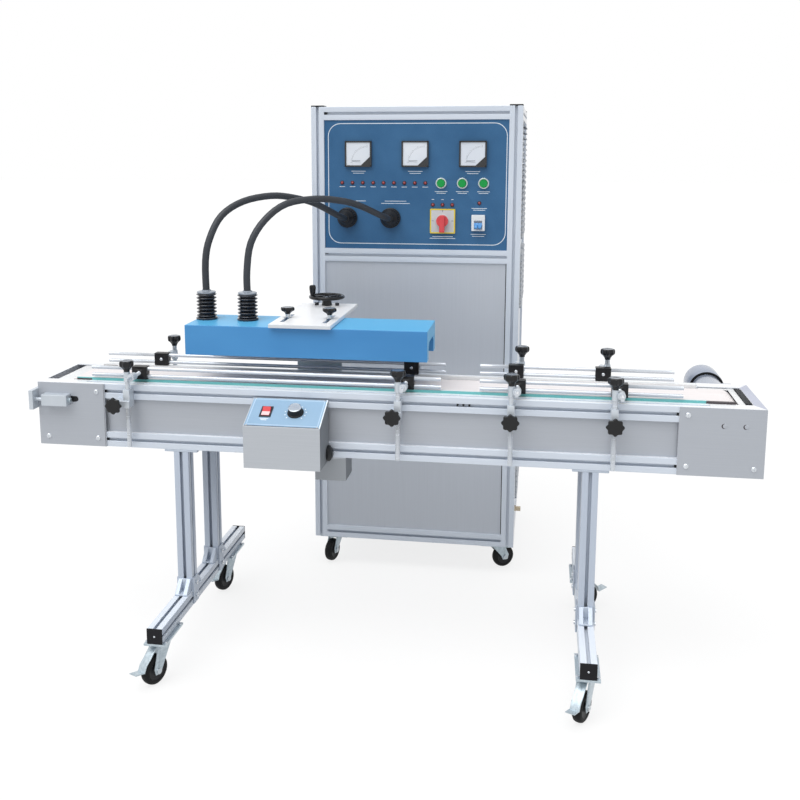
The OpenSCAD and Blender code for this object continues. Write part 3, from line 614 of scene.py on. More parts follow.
# Dark inlays in the take-up slots and round the take-up axles: painted shade in the slots.
for s in (-1, 1):
    brick(bm, conv(-837.5, s * 130.3 - 0.35, 671), conv(TAKE_UP_X, s * 130.3 + 0.35, 685))
    turned(bm, outside(TAKE_UP_X, s * 130, AXLE_Z), stub(0.007, 0.0006), 24)
for x in (191.5, 206, 221):
    turned(bm, outside(x, -118.4, 702), stub(0.0026, 0.008), 16)
for z in (1445, 1020):
    brick(bm, cab(-279.8, 4.6, z - 6), cab(-271, 10.6, z + 6), ease=0.0005)
piece("slot_nuts", bm, "frame", nut_dark, slot="zinc_steel")
bm = bmesh.new()
# Each bearing screw is a dark disc, painted shade of its hole, under a stainless dome set off its middle.
for x in (832, 882):
    hole = outside(x, -133, AXLE_Z)
    turned(bm, hole, stub(0.0062, 0.0002), 28)
    turned(bm, hole @ shift(0.0024, 0.0003, 0), [
        (0, 0), (0.0056, 0), (0.0056, 0.0005), (0.0046, 0.0009), (0, 0.0011)], 28, 1)
piece("bearing_screws", bm, "frame", keeper_dark, stainless_x, slot="zinc_steel")
bm = bmesh.new()
for s in (-1, 1):
    turned(bm, facing(conv(-838, s * 145, AXLE_Z), RIGHT), [
        (0, 0), (0.0062, 0), (0.0062, 0.006), (0.0054, 0.007), (0.0, 0.007)], 28)
    turned(bm, facing(conv(BRACKET_X, s * 147, AXLE_Z), LEFT), [
        (0, -0.004), (0.009, -0.004), (0.009, -0.0015), (0.008, -0.0003), (0, -0.0003)], 6)
piece("take_up_bolts", bm, "frame", zinc, slot="zinc_steel")
bracket_places = [facing(conv(BRACKET_X, s * 118, AXLE_Z + dz), LEFT) for s in (-1, 1) for dz in (-15, 15)]
screws("bracket_screws", screw_tree, bracket_places, 0.004, 0.0003)


# The gear motor: a flanged housing behind the delivery end, smooth grey paint over castings, with the
# black seam ring between gear head and motor and four screws in the flange.
motor_paint = grained("motor_paint", "99a2b3", "8a93a5", 0.24, 0.3, scale=300, depth=0.05, coat=0.5)
seam_black = grained("seam_black", "101114", "08090a", 0.4, shine=0.2)
eased("gear_motor", "motor_grey", motor_paint, seam_black, width=0.001,
      pick=lambda c, n: 1 if conv(0, 256.8, 0).y < c.y < conv(0, 267.7, 0).y and abs(n.y) > 0.5 else 0)
flange_places = [outside(850 + dx, 145, AXLE_Z + dz) for dx in (-36, 36) for dz in (-36, 36)]
screws("motor_screws", screw_tree, flange_places, 0.0055, 0.005)


# The guide rails: polished rods in pairs, held by black clamp blocks on cross rods that slide through
# cast cross blocks, on upright rods in cast holders. Lobed black knobs lock every joint.
rod_polish = lined("polished_rod", "x", "dadfe5", "c0c7d0", 500, 0.22, 0.4, 0.04)
clamp_black = grained("clamp_black", "16171b", "0c0d10", 0.34, scale=700, depth=0.06, shine=0.3)
# The knobs turn blue grey at a low angle, a painted sheen on their lobes and tops.
knob_black = grained("knob_black", "121317", "0a0b0d", 0.2, scale=500, depth=0.03, painted_edge_sheen="78828f", shine=0.38)
FRONT_POSTS, REAR_POSTS = (-670, 44, 325, 574), (-651, 62, 344, 572)
KNOB_ASIDE = dict(zip(FRONT_POSTS, (-26, -10, 0, 0)))
POST_Y, POST_KNOB_Z = 148, 677
CLAMP_Y, CLAMP_Z, CLAMP_ASIDE = 90, 748, 14
posts = [(s, x) for s, row in ((-1, FRONT_POSTS), (1, REAR_POSTS)) for x in row]


def upright_or_block(c, n):
    for s, x in posts:
        at = conv(x, s * POST_Y, 0)
        if math.hypot(c.x - at.x, c.y - at.y) < 0.0064 and abs(n.z) < 0.3:
            return 1
    return 0


eased("guide_brackets", "bright_aluminium", cast_silver, rod_polish, width=0.001, pick=upright_or_block)


def clamp_or_rod(s, row):
    blocks = [conv(x - CLAMP_ASIDE * s, CLAMP_Y * s, CLAMP_Z) for x in row]

    def pick(c, n):
        return int(any(abs(c.x - b.x) < 0.0204 and abs(c.y - b.y) < 0.0124 and abs(c.z - b.z) < 0.0174
                       for b in blocks))
    return pick


GUIDES = (("fl", -1, FRONT_POSTS[:2]), ("fr", -1, FRONT_POSTS[2:]),
          ("rl", 1, REAR_POSTS[:2]), ("rr", 1, REAR_POSTS[2:]))
for key, s, row in GUIDES:
    eased("guide_" + key, "polished_rod", rod_polish, clamp_black, pick=clamp_or_rod(s, row))
    inside = [facing(conv(x - CLAMP_ASIDE * s, (CLAMP_Y - 12) * s, CLAMP_Z), (0, -s, 0)) for x in row]
    screws("clamp_screws_" + key, dome_tree, inside, 0.0045, 0.0022, "rail_" + key)


def pattern_part(w, given):
    return w.node("ObjectInfo", out="Geometry", Object=given["Part"])


part_tree = planted("set_parts", pattern_part, Part="Object")


def lobed_knob(name, r, foot, h):
    """A moulded hand knob: a flared foot, eight finger lobes and a slightly dished top."""
    outline = [(0, 0), (foot, 0), (foot * 1.05, 0.12 * h)]
    outline += [(r * wide, h * up, cut) for wide, up, cut in (
        (0.66, 0.36, 0.05), (0.86, 0.46, 0.12), (0.97, 0.54, 0.15), (1, 0.64, 0.16), (1, 0.8, 0.16),
        (0.975, 0.9, 0.15), (0.91, 0.965, 0.12), (0.82, 0.995, 0.08), (0.55, 1, 0), (0.42, 0.985, 0),
        (0, 0.975, 0))]
    return piece(name, turned(bmesh.new(), Matrix(), outline, 64, lobes=8), None, knob_black)


front_knob = lobed_knob("front_knob", 0.0225, 0.011, 0.018)
top_knob = lobed_knob("top_knob", 0.0195, 0.0075, 0.029)
at_front = [outside(x + KNOB_ASIDE.get(x, 0), s * 170, POST_KNOB_Z) for s, x in posts]
at_top = [upright(x, s * POST_Y, 762 if s < 0 else 775) for s, x in posts]
grown("post_knobs", part_tree, at_front, "frame", knob_black, "black_plastic", ["guide_knobs"],
      Part=front_knob)
grown("cross_knobs", part_tree, at_top, "frame", knob_black, "black_plastic", Part=top_knob)
bm = bmesh.new()
for s, x in posts:
    turned(bm, outside(x + KNOB_ASIDE.get(x, 0), s * 163, POST_KNOB_Z), stub(0.007, 0.0072), 20)
    turned(bm, upright(x, s * POST_Y, 760.5), stub(0.0065, 0.0015 if s < 0 else 0.0145), 20)
piece("knob_stems", bm, "frame", axle_steel, slot="zinc_steel")


# The lift: a machined block bolted to the rear rail carries two guide rods and a screw. The thick satin
# plate slides on them and holds the head by two slots; a cranked handwheel turns the screw.
LIFT_X, SCREW_Y, PLATE_TOP = -218, 232, 890.5
milled = lined("milled_block", "x", "cdd3d9", "b7bec5", 350, 0.36, 0.6, 0.15)
plate_satin = lined("plate_satin", "y", "d9dde2", "cdd2d8", 500, 0.38, 0.3, 0.12)
bolt_dark = grained("bolt_dark", "2b2d32", "1d1f23", 0.35, 0.4)
# The handwheel turns grey at a low angle, a painted sheen.
wheel_black = grained("wheel_black", "17181b", "0d0e10", 0.26, scale=500, depth=0.04, painted_edge_sheen="5c646e",
                      shine=0.35)
eased("lift_block", "bright_aluminium", milled, width=0.0012)
eased("head_plate", "plate_silver", plate_satin, rod_polish, bolt_dark, width=0.0012,
      pick=lambda c, n: 2 if c.z > 0.8905 else 0 if c.z > 0.8795 else 1)
lift_places = [outside(LIFT_X + dx, 141, z) for dx in (-48, 48) for z in (572, 650)]
screws("lift_screws", screw_tree, lift_places, 0.0065, 0.006)


def spin(degrees):
    return Matrix.Rotation(math.radians(degrees), 4, "Z")


RIM_R, RIM_THICK, RIM_Z = 0.0468, 0.005, 0.0245
hub = upright(LIFT_X, SCREW_Y, PLATE_TOP)
bm = turned(bmesh.new(), hub, [
    (0, 0), (0.0148, 0), (0.015, 0.001), (0.0135, 0.010), (0.0125, 0.022), (0.0115, 0.0255),
    (0.008, 0.0262), (0.0075, 0.0245), (0, 0.0245)], 32)
round_rim = [2 * math.pi * k / 16 for k in range(17)]
turned(bm, hub, [(RIM_R + RIM_THICK * math.cos(t), RIM_Z + RIM_THICK * math.sin(t)) for t in round_rim], 64)
for a in (40, 160, 280):
    spoke = hub @ spin(a)
    brick(bm, (0.008, -0.0042, 0.0205), (0.0445, 0.0042, 0.0268), spoke, 0.002)
crank = hub @ spin(212) @ shift(0.043, 0, 0.0275)
turned(bm, crank, [
    (0, 0), (0.0055, 0), (0.0055, 0.003), (0.0068, 0.0045), (0.0082, 0.012), (0.0094, 0.022),
    (0.0096, 0.027), (0.0088, 0.0312), (0.0064, 0.033), (0, 0.033)], 28)
piece("cranked_handwheel", joined(bm), "hand_wheel", wheel_black, slot="black_plastic", instead=["handwheel"])
bm = turned(bmesh.new(), upright(LIFT_X, SCREW_Y, 601), [
    (0, 0), (0.0062, 0), (0.0072, 0.001), (0.0072, 0.289), (0, 0.289)], 28)
piece("lift_screw", bm, "hand_wheel", axle_steel, slot="zinc_steel")


# The sealing head: a long folded sheet box in light blue stoving enamel with the coil potted above its
# tunnel. Two clamp knobs hold it to the plate. The black ribbed bellows on top take the hoses; their feet
# ride on the head and their caps on the plate, while the ribbed sleeves between them stay where they are set.
HEAD_TOP = 879
enamel = Finish("head_enamel", Metallic=0.0, Specular_IOR_Level=0.35)
wave = enamel.noise(420.0, detail=1.0)
shade = enamel.noise(3.0, (1, 2, 2), 2.0)
face_on = shade.between(0.3, 0.7).mix(hue("4489c4"), hue("4f96d0"))
# Painted sheen: the enamel turns a lighter sky blue at a low angle, which lights the top of the head.
enamel.feed(Base_Color=enamel.skimmed(0.45, 0.85).mix(face_on, hue("58addc")), Roughness=0.34 + 0.08 * wave)
enamel.bump(wave, 0.05, 0.0002)
coil = lined("coil_copper", "x", "96603a", "6b4227", 300, 0.42, 0.7)
# The bellows rubber turns grey at a low angle, a painted sheen on its ribs.
rubber_black = grained("bellows_rubber", "282b31", "1b1d22", 0.22, scale=700, depth=0.06, painted_edge_sheen="5d6470",
                       coat=0.4)
collar_grey = grained("collar_grey", "aeb6c0", "8f98a3", 0.3, 0.4)
eased("sealing_head", "head_blue", enamel, width=0.0012)
eased("induction_coil", "coil_copper", coil)


def ribbed_sleeve(w, given):
    """A sleeve whose radius swells and shrinks along it."""
    line = w.node("CurvePrimitiveLine", End=w.vector(z=given["Height"]))
    fine = w.node("ResampleCurve", Curve=line, Count=12 * 9 + 1)
    swing = w.maths("COSINE", (given["Ribs"] * 6.28319) * w.node("SplineParameter", out="Factor"))
    radius = given["Inner"] + (given["Outer"] - given["Inner"]) * (0.5 - 0.5 * swing) ** 0.7
    ring = w.node("CurvePrimitiveCircle", Resolution=36, Radius=1.0)
    return w.node("CurveToMesh", Curve=fine, Profile_Curve=ring, Scale=radius, Fill_Caps=True)


sleeve_tree = planted("ribbed_sleeves", ribbed_sleeve, "Height", "Ribs", "Inner", "Outer")
feet = [upright(x, 15, HEAD_TOP) for x in (-504, -389)]
lifted = [shift(0, 0, 0.006) @ p for p in feet]
sleeves = grown("bellows_sleeves", sleeve_tree, lifted, None, rubber_black, "bellows_black", ["bellows"],
                Height=0.0665, Ribs=7.0, Inner=0.0198, Outer=0.0275)
tuple(conv(-446.5, 15, 887))
tuple(conv(-446.5, 15, 949))
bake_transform(sleeves)
foot_rings, caps = bmesh.new(), bmesh.new()
for p in feet:
    turned(foot_rings, p, [
        (0, 0.0), (0.0285, 0.0), (0.029, 0.001), (0.029, 0.0045), (0.0275, 0.006), (0.02, 0.0075),
        (0, 0.0075)], 40)
    turned(caps, p, [
        (0, 0.07), (0.0235, 0.07), (0.0255, 0.0725), (0.0252, 0.0752), (0.0215, 0.0764), (0.0128, 0.0772),
        (0.0122, 0.08), (0, 0.08)], 40)
piece("bellows_feet", foot_rings, "head", rubber_black, slot="bellows_black")
piece("bellows_caps", caps, "lift_plate", collar_grey, slot="bellows_black")

CLAMP_XS = (LIFT_X - 57, LIFT_X + 57)
head_knob = lobed_knob("head_knob", 0.019, 0.0068, 0.0185)
grown("clamp_knobs", part_tree, [upright(x, 3, 900.5) for x in CLAMP_XS], "head", knob_black, "black_plastic",
      ["head_knobs"], Part=head_knob)
bm = bmesh.new()
for x in CLAMP_XS:
    turned(bm, upright(x, 3, PLATE_TOP), [
        (0, 0), (0.0108, 0), (0.011, 0.0004), (0.011, 0.0026), (0.0104, 0.003), (0.006, 0.003),
        (0.006, 0.0105), (0, 0.0105)], 28)
    turned(bm, upright(x, 3, HEAD_TOP), stub(0.004, 0.012), 20)
piece("clamp_studs", bm, "head", axle_steel, slot="zinc_steel")
for pattern in (front_knob, top_knob, head_knob):
    bpy.data.objects.remove(pattern)


# The speed box: a folded stainless wedge on the front wall with a light blue printed plate on its slope,
# a rocker switch, a speed knob with a spun cap over a ring of marks, and a cable gland in its side.
BOX_X, SLOPE = -236, math.atan2(48, 102)
slope_out = Vector((0, -math.sin(SLOPE), math.cos(SLOPE)))
slope_up = Vector((0, math.cos(SLOPE), math.sin(SLOPE)))


def on_slope(x, v, lift=0.0):
    """A place on the sloped plate: x from its middle, v up from its front edge, in millimetres."""
    at = conv(BOX_X + x, -129, 702) + slope_up * (v - 112.7) / 1000 + slope_out * lift / 1000
    return facing(at, slope_out, slope_up)


box_steel = lined("box_stainless", "x", "bec3c9", "b4b9c0", 700, 0.36, 0.3, 0.1)
painted_box_side_shade = grained("box_side", "7d8288", "71767c", 0.45, 0.2)
box_foot = grained("box_foot", "9ea3a9", "94999f", 0.42, 0.2)
faint_line = grained("faint_print", "b9d0e4", "aec7de", 0.5, depth=0.0)
plate_print = grained("printed_plate", "94b3cd", "89a8c4", 0.4, scale=300, depth=0.03)
# The pale print also paints a highlight along the right fold of the speed box's slope.
print_and_painted_highlight = grained("pale_print", "e9f0f6", "dde7ef", 0.5, depth=0.0)
moulded_black = grained("moulded_black", "1a1b1e", "101113", 0.42, scale=800, shine=0.3)
rocker_red = grained("rocker_red", "d8383f", "c42a32", 0.22, depth=0.02, coat=0.6)
rocker_pale = grained("rocker_pale", "f3d2d4", "eab4b8", 0.22, depth=0.02, coat=0.6)
spun_cap = lined("spun_cap", "x", "e4e8ec", "b9c0c8", 700, 0.22, 0.85, 0.1)


# The right side of the box takes a dark grey and the faces of the bracket below it a mid grey: painted shade
# on the same stainless.
def box_face(c, n):
    if n.x > 0.9:
        return 1
    return 2 if c.z < POST_TOP and n.z > -0.9 else 0


eased("speed_box", "stainless_sheet", box_steel, painted_box_side_shade, box_foot, pick=box_face)


def frame_band(bm, place, half_w, half_h, corner, band, thick, slot=0, steps=8):
    """A flat band that follows a rounded rectangle, lying on a place."""
    loops = []
    for grow, z in ((0, 0), (0, thick), (-band, thick), (-band, 0)):
        loop, r = [], corner + grow
        for q, (sx, sy) in enumerate(((1, 1), (-1, 1), (-1, -1), (1, -1))):
            for k in range(steps + 1):
                t = math.pi / 2 * (q + k / steps)
                loop.append(bm.verts.new(place @ Vector((sx * (half_w - corner) + r * math.cos(t),
                                                         sy * (half_h - corner) + r * math.sin(t), z))))
        loops.append(loop)
    count = len(loops[0])
    for a, b in zip(loops, loops[1:] + loops[:1]):
        for k in range(count):
            bm.faces.new((a[k], a[(k + 1) % count], b[(k + 1) % count], b[k])).material_index = slot
    return bm


bm = bmesh.new()
cover = on_slope(0, 56.35)
# the printed plate round the rocker's hole, a bright strip at its right that paints a highlight on the fold,
# and a dark line at its front that paints the shade of the gap
for x0, y0, x1, y1, thick, slot in ((-0.0955, -0.0535, -0.0624, 0.0535, 0.0008, 0),
                                    (-0.0624, 0.0161, -0.0396, 0.0535, 0.0008, 0),
                                    (-0.0624, -0.0535, -0.0396, -0.0168, 0.0008, 0),
                                    (-0.0396, -0.0535, 0.0955, 0.0535, 0.0008, 0),
                                    (0.0955, -0.0555, 0.0982, 0.0555, 0.0012, 1),
                                    (-0.0955, -0.0548, 0.0955, -0.0536, 0.0006, 2)):
    brick(bm, (x0, y0, 0.0), (x1, y1, thick), cover, slot=slot)
frame_band(bm, cover @ shift(0, 0, 0.0007), 0.092, 0.05, 0.004, 0.0022, 0.0003, 3)
piece("speed_plate", bm, "frame", plate_print, print_and_painted_highlight, keeper_dark, faint_line, slot="panel_blue")


def print_dot(w, given):
    return w.node("MeshCylinder", Vertices=20, Radius=given["Radius"], Depth=given["Height"])


KNOB_SPOT, ROCKER_SPOT = (25, 56), (-51, 56)
dot_tree = planted("print_dots", print_dot, "Radius", "Height")
dial_turns = [math.radians(225 - 27 * k) for k in range(11)]
speed_marks = [on_slope(*KNOB_SPOT, 0.95) @ shift(0.027 * math.cos(a), 0.027 * math.sin(a), 0)
               for a in dial_turns]
grown("speed_marks", dot_tree, speed_marks, "frame", print_and_painted_highlight, Radius=0.0018, Height=0.0006)
corner_places = [on_slope(x, v, 0.8) for x in (-90.5, 90.5) for v in (4.5, 108)]
screws("box_screws", dome_tree, corner_places, 0.0026, 0.0012, finish=axle_steel)
rocker_at = on_slope(*ROCKER_SPOT).translation
# The lower half of the rocker's face is pale pink, a painted highlight.
eased("rocker", "switch_red", rocker_red, rocker_pale, width=0.0007,
      pick=lambda c, n: 1 if (c - rocker_at).dot(slope_up) < 0.001 and n.dot(slope_out) > 0.5 else 0)
ribs("rocker_caption", [on_slope(-51, v, 0.8) for v in (30, 25)], print_and_painted_highlight, 0.001, 0.0022, 0.0004,
     sizes=[(22, 1, 1), (15, 1, 1)])
knob_at = on_slope(*KNOB_SPOT)
bm = turned(bmesh.new(), knob_at, [
    (0, 0.0011), (0.0208, 0.0011), (0.021, 0.0018), (0.0208, 0.0036), (0.0198, 0.0044), (0.0182, 0.0046)], 96)
flutes = [(0.0182, 0.0046), (0.018, 0.006, 0.04), (0.0172, 0.0165, 0.045), (0.0169, 0.0186, 0.0)]
turned(bm, knob_at, flutes, 96, 0, 24)
turned(bm, knob_at, [(0.0169, 0.0186), (0.0164, 0.0196), (0.015, 0.02), (0.0147, 0.0194), (0, 0.0192)], 96, 1)
joined(bm)
turned(bm, knob_at, stub(0.0035, 0.002, -0.008), 20)
brick(bm, (-0.0006, 0.0125, 0.0012), (0.0006, 0.0205, 0.0047), knob_at, slot=2)
piece("speed_dial", bm, "speed", moulded_black, spun_cap, print_and_painted_highlight, slot="black_plastic",
      instead=["speed_knob"])


# The cabinet skin: brushed stainless sheets let into the slots of the frame. Rows of pressed louvres
# vent both sides, small screws hold the sheets along their edges, and a dark seal shows beside the door.
SIDE_X, BACK_Y = 313.6, 584.2
stainless_z = lined("cabinet_stainless", "z", "c3c9d2", "bcc2cb", 650, 0.38, 0.25, 0.1, "dbe1e9")
# The hoods take a darker grey than the sheet they are pressed from: painted shade under the louvres.
hood_grey = grained("hood_grey", "a2a9b2", "939aa4", 0.4, 0.2)
eased("cabinet_panels", "stainless_sheet", stainless_z, width=0.0004)


def louvre_hood():
    """A pressed hood: a quarter-round blade, open below, closed at both ends."""
    bm = bmesh.new()
    curl = [(0.0105 * math.sin(t), 0.0062 * math.cos(t)) for t in (0.35, 0.7, 1.05, 1.4)]
    arc = [(0.0, 0.0062), *curl, (0.011, -0.0026)]
    rows = [[bm.verts.new((y, h, out)) for out, h in arc] for y in (-0.088, -0.084, 0.084, 0.088)]
    for v in rows[0] + rows[-1]:
        v.co.z *= 0.05
    for a, b in zip(rows, rows[1:]):
        for k in range(len(arc) - 1):
            bm.faces.new((a[k], a[k + 1], b[k + 1], b[k]))
    made = piece("louvre_hood", bm, None, stainless_z)
    thick = made.modifiers.new("sheet", "SOLIDIFY")
    thick.thickness, thick.offset = 0.0008, 0
    return made


hood = louvre_hood()
slots = [1421 - 1291 * share - 18 * i for share, n in ((0.013, 20), (0.32, 10), (0.845, 7)) for i in range(n)]
vents = [facing(cab(s * SIDE_X, 590 * y, z), (s, 0, 0)) for s in (-1, 1) for y in (0.31, 0.69) for z in slots]
grown("louvre_hoods", part_tree, vents, "frame", hood_grey, "stainless_sheet", Part=hood)
bpy.data.objects.remove(hood)
bm = brick(bmesh.new(), cab(277.6, 4.6, 131), cab(279.9, 6.1, 999.5))
piece("door_seal", bm, "frame", seam_black, slot="black_plastic")
skin_places = [facing(cab(s * SIDE_X, y, z), (s, 0, 0))
               for s in (-1, 1) for y in (52, 295, 538) for z in (145, 590, 1030, 1410)]
skin_places += [facing(cab(x, BACK_Y, z), (0, 1, 0))
                for x in (-268, 0, 268) for z in (145, 560, 975, 1047, 1405)]
screws("skin_screws", dome_tree, skin_places, 0.0045, 0.002)


# The control panel: sheet in steel blue paint with a pale printed border. Short printed bars stand where
# the captions go. Its cut-outs hold the instruments, lamps and switches of the next sections.
def on_panel(x, z, y=4.0):
    """A place on the control panel, or y millimetres behind the cabinet's front face."""
    return facing(cab(x, y, z), FRONT)


METER_XS = (-174, 0, 174)
LAMP_XS = [-225 + 32 * i for i in range(9)]
SWITCH_LAMP_XS = (54.5, 84, 113.5)
panel_paint = grained("panel_paint", "3f6d97", "34618a", 0.42, scale=500, depth=0.05, shine=0.25)
eased("control_panel", "panel_blue", panel_paint, width=0.0004)
bm = frame_band(bmesh.new(), on_panel(3.5, 1229.5), 0.2721, 0.1825, 0.039, 0.0022, 0.0003)
piece("panel_border", bm, "frame", print_and_painted_highlight)
captions = [(x, 1268, 44) for x in METER_XS] + [(x, 1262, 34) for x in METER_XS]
captions += [(x, 1221, 17) for x in LAMP_XS]
captions += [(x, z, w) for x in (79, 143, 207) for z, w in ((1208, 38), (1203, 28))]
captions += [(x, 1184, 7) for x in SWITCH_LAMP_XS] + [(195, 1158, 46), (195, 1153, 36)]
captions += [(85, 1072, 62), (85, 1066.5, 78), (193, 1080, 46), (193, 1074, 36)]
captions += [(-172, 1178, 40), (-60, 1178, 66), (-60, 1171, 88)]
ribs("caption_bars", [on_panel(x, z) for x, z, _ in captions], print_and_painted_highlight, 0.001, 0.0016, 0.0004,
     sizes=[(w, 1, 1) for _, _, w in captions])


# The three panel meters: square black cases, a white scale card with a ninety degree
# scale and a fine needle, and a black cover over the movement in the lower right corner.
card_white = grained("meter_card", "e6ebf2", "d9e0ea", 0.35, depth=0.0, coat=0.6)
case_black = grained("meter_case", "26282c", "1a1b1e", 0.3, depth=0.05, coat=0.3)
scale_ink = grained("scale_ink", "6d737c", "5b616a", 0.5, depth=0.0)
CORNER = ((0.0362, -0.0342), (0.0362, -0.0085), (0.0085, -0.0342))
bm = bmesh.new()
scale_marks, mark_sizes = [], []
for x in METER_XS:
    m = on_panel(x, 1320)
    brick(bm, (-0.041, -0.039, 0.0), (0.041, 0.039, 0.0072), m, 0.0008, 0)
    frame_band(bm, m @ shift(0, 0, 0.0066), 0.041, 0.039, 0.0022, 0.0046, 0.0033, 0, 3)
    brick(bm, (-0.0362, -0.0342, 0.007), (0.0362, 0.0342, 0.0078), m, slot=1)
    low, top = [[bm.verts.new(m @ Vector((u, v, z))) for u, v in CORNER] for z in (0.0076, 0.0094)]
    bm.faces.new(top)
    bm.faces.new(low[::-1])
    for k in range(3):
        bm.faces.new((low[k], low[(k + 1) % 3], top[(k + 1) % 3], top[k]))
    pivot = m @ shift(0.0275, -0.0255, 0.0078)
    for k in range(21):
        spot = pivot @ spin(180 - 4.5 * k)
        scale_marks.append(spot @ shift(0.0475 if k % 5 else 0.0482, 0, 0))
        mark_sizes.append((4.0 if k % 5 else 6.4, 1, 1))
    scale_marks.append(m @ shift(-0.0058, -0.02, 0.0078))
    mark_sizes.append((26, 2, 1))
    needle = pivot @ spin(176)
    brick(bm, (0.02, -0.0004, 0.0002), (0.0465, 0.0004, 0.0006), needle, slot=2)
piece("panel_instruments", bm, "frame", case_black, card_white, scale_ink, slot="black_plastic",
      instead=["panel_meters"])
ribs("meter_scales", scale_marks, scale_ink, 0.001, 0.0006, 0.0003, sizes=mark_sizes)


# The lamps and switches: red lamps in dark bezels, green push buttons in bright rings, a red cam switch on
# a grey plate with a yellow rim, and a white breaker with a blue twin toggle.
lens_red = grained("lens_red", "9c2a30", "7d1c22", 0.18, depth=0.0, coat=0.8)
lens_red.feed(Emission_Color=hue("a03038"), Emission_Strength=0.12)
bezel_dark = grained("bezel_dark", "3c3f44", "2a2c30", 0.35, 0.3)


def lamp_lens(w, given):
    ball = w.node("MeshUVSphere", Segments=20, Rings=10, Radius=given["Radius"])
    return w.node("Transform", Geometry=ball, Translation=w.vector(z=given["Lift"]))


def lamp_ring(w, given):
    circle = w.node("CurvePrimitiveCircle", Resolution=24, Radius=given["Radius"])
    wire = w.node("CurvePrimitiveCircle", Resolution=8, Radius=given["Lift"])
    return w.node("CurveToMesh", Curve=circle, Profile_Curve=wire)


lens_tree = planted("lamp_lenses", lamp_lens, "Radius", "Lift")
ring_tree = planted("lamp_rings", lamp_ring, "Radius", "Lift")
lamp_places = [on_panel(x, 1233) for x in LAMP_XS] + [on_panel(x, 1168) for x in SWITCH_LAMP_XS]
lamp_places.append(on_panel(195, 1174))
grown("lamp_lenses", lens_tree, lamp_places, "frame", lens_red, "lamp_red", ["pilot_lamps"],
      Radius=0.0044, Lift=0.001)
grown("lamp_rings", ring_tree, lamp_places, "frame", bezel_dark, "black_plastic", Radius=0.0051, Lift=0.0013)

plate_grey = grained("switch_plate_grey", "cfd1d2", "c0c3c5", 0.4, scale=300)
rim_yellow = grained("rim_yellow", "f0d83a", "e0c62c", 0.4, depth=0.04)
breaker_white = grained("breaker_white", "eef0f2", "e2e5e8", 0.36, depth=0.04, coat=0.2)
ring_chrome = lined("ring_chrome", "x", "cfd8d8", "a9b6b6", 600, 0.2, 0.7, 0.03, "d5dddd")
cam_red = grained("cam_red", "e0464c", "cc343b", 0.3, depth=0.05, coat=0.3)
toggle_blue = grained("toggle_blue", "5a9ad6", "4a8bc9", 0.3, depth=0.03)
button_green = grained("button_green", "12a04a", "0a8f3e", 0.3, depth=0.02, shine=0.3)


def base_finish(c, n):
    """The breaker's case is white, the rings of the buttons bright, and the cam plate's rim yellow."""
    u, v = c.x - cab(0, 0, 0).x, c.z
    if u > 0.16 and v < 1.15:
        return 2
    if v > 1.2:
        return 3
    on_rim = max(abs(u - 0.085), abs(v - 1.119)) > 0.0352 or abs(n.y) < 0.5
    return 1 if c.y > cab(0, -1, 0).y and on_rim else 0


eased("switch_bases", "pale_plastic", plate_grey, rim_yellow, breaker_white, ring_chrome, width=0.0009,
      pick=base_finish)
bm = frame_band(bmesh.new(), on_panel(85, 1119, -2.0), 0.0381, 0.0371, 0.003, 0.0034, 0.0004, 0, 4)
piece("cam_rim", bm, "frame", rim_yellow)
eased("cam_handle", "switch_red", cam_red, width=0.0016)
cam_marks = [on_panel(85, 1120, -2.4) @ spin(a)
             @ shift(0.0295, 0, 0) for a in (0, 90, 180, 270)]
ribs("cam_marks", cam_marks, scale_ink, 0.006, 0.0014, 0.0005)
eased("breaker_toggle", "toggle_blue", toggle_blue)
for i in (1, 2, 3):
    eased(f"button_{i}", "button_green", button_green, width=0.0016)


# The hose glands: two big moulded unions on the panel with a ribbed nut and a rubber seal, the bezel of the
# rocker, and the small cable gland in the side of the speed box.
gland_black = grained("gland_black", "1a1c20", "0e0f11", 0.36, scale=500, depth=0.08, shine=0.35)
eased("glands", "black_plastic", gland_black, bezel_dark, width=0.0009,
      pick=lambda c, n: 1 if (c - rocker_at).length < 0.035 else 0)
bm = turned(bmesh.new(), facing(conv(-137.4, -145, 567), RIGHT), [
    (0, 0), (0.0195, 0), (0.0205, 0.001), (0.0205, 0.006), (0.0175, 0.0085), (0.0125, 0.012), (0, 0.012)], 36)
piece("side_gland_nut", bm, "frame", gland_black, slot="black_plastic")
nut_ribs = [on_panel(x, 1127, -14.0) @ spin(15 * k)
            @ shift(0.0259, 0, 0) for x in (-209, -75) for k in range(24)]
ribs("union_ribs", nut_ribs, gland_black, 0.0022, 0.0032, 0.0115, "black_plastic")


# The water fitting and the power unit: a turned brass hose tail low on the right side, and the closed
# grey converter that stands on the cabinet floor behind the sheets.
brass = lined("turned_brass", "x", "d3c8b4", "b09c7c", 500, 0.3, 0.7, 0.06)
eased("water_fittings", "brass_fitting", brass, width=0.0006)
barbs = [facing(cab(336.5 - 4.5 * k, 145, 168), RIGHT) for k in range(3)]
grown("hose_tails", ring_tree, barbs, "frame", brass, "brass_fitting", Radius=0.0074, Lift=0.0011)
unit_grey = grained("unit_grey", "9aa0a7", "8a9097", 0.45, scale=300)
eased("power_unit", "unit_grey", unit_grey, width=0.003)


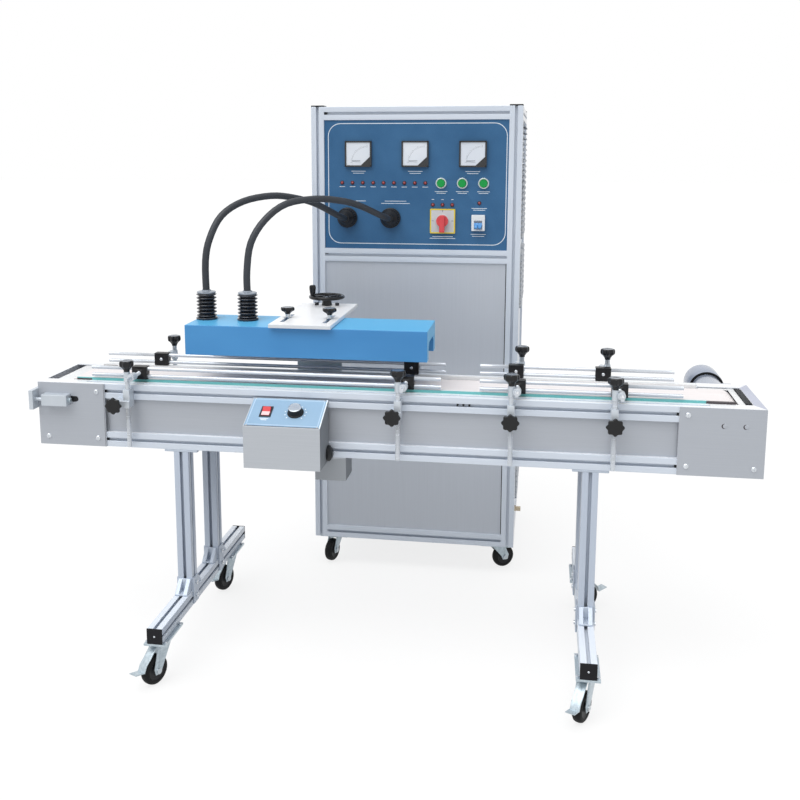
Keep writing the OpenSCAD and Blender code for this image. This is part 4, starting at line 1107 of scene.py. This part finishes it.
# The two hoses: black rubber tube about 19 mm thick from the bellows over to the unions, carrying the coil
# leads and cooling water. Each rises, arches back and comes down into its union, springy under its weight.
HOSE_R, SIDES = 0.0095, 24
hose_rubber = grained("hose_rubber", "31363e", "24292f", 0.46, scale=500, depth=0.08)
ROUTES = {
    "hose_a": [(-504, 15, 951), (-504, 15, 1036), (-494, 25, 1096), (-469, 55, 1156), (-424, 108, 1192),
               (-364, 178, 1205), (-314, 243, 1197), (-266, 308, 1177), (-220, 385, 1141), (-204, 433, 1127)],
    "hose_b": [(-389, 15, 951), (-389, 15, 1011), (-379, 23, 1086), (-347, 51, 1146), (-300, 103, 1187),
               (-235, 183, 1197), (-180, 253, 1189), (-138, 313, 1173), (-84, 387, 1139), (-70, 433, 1127)]}
for node, route in ROUTES.items():
    knots = [conv(*p) for p in route]
    last = len(knots) - 1
    line = []
    for i in range(last):
        a, b, c, d = knots[max(i - 1, 0)], knots[i], knots[i + 1], knots[min(i + 2, last)]
        for t in (0, 0.25, 0.5, 0.75):
            line.append(0.5 * (2 * b + (c - a) * t + (2 * a - 5 * b + 4 * c - d) * t * t
                               + (3 * b - a - 3 * c + d) * t * t * t))
    line.append(knots[-1])
    ways = [Vector((0, 0, 1)), *[q - p for p, q in zip(line, line[2:])], Vector((0, 1, 0))]
    across = (line[-1] - line[0]).cross(Vector((0, 0, 1))).normalized()
    bm = bmesh.new()
    rings = []
    for p, ahead in zip(line, ways):
        ahead.normalize()
        u = (across - across.dot(ahead) * ahead).normalized()
        v = ahead.cross(u)
        angles = [2 * math.pi * k / SIDES for k in range(SIDES)]
        rings.append([bm.verts.new(p + HOSE_R * (math.cos(a) * u + math.sin(a) * v)) for a in angles])
    for a, b in zip(rings, rings[1:]):
        for k in range(SIDES):
            bm.faces.new((a[k], a[(k + 1) % SIDES], b[(k + 1) % SIDES], b[k]))
    bm.faces.new(rings[0][::-1])
    bm.faces.new(rings[-1])
    tube = piece("rubber_" + node, bm, None, hose_rubber, slot="hose_black", instead=[node])
    length = sum((q - p).length for p, q in zip(line, line[1:]))
    tuple(line[0] + Vector((0, 0, 0.02)))
    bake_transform(tube)
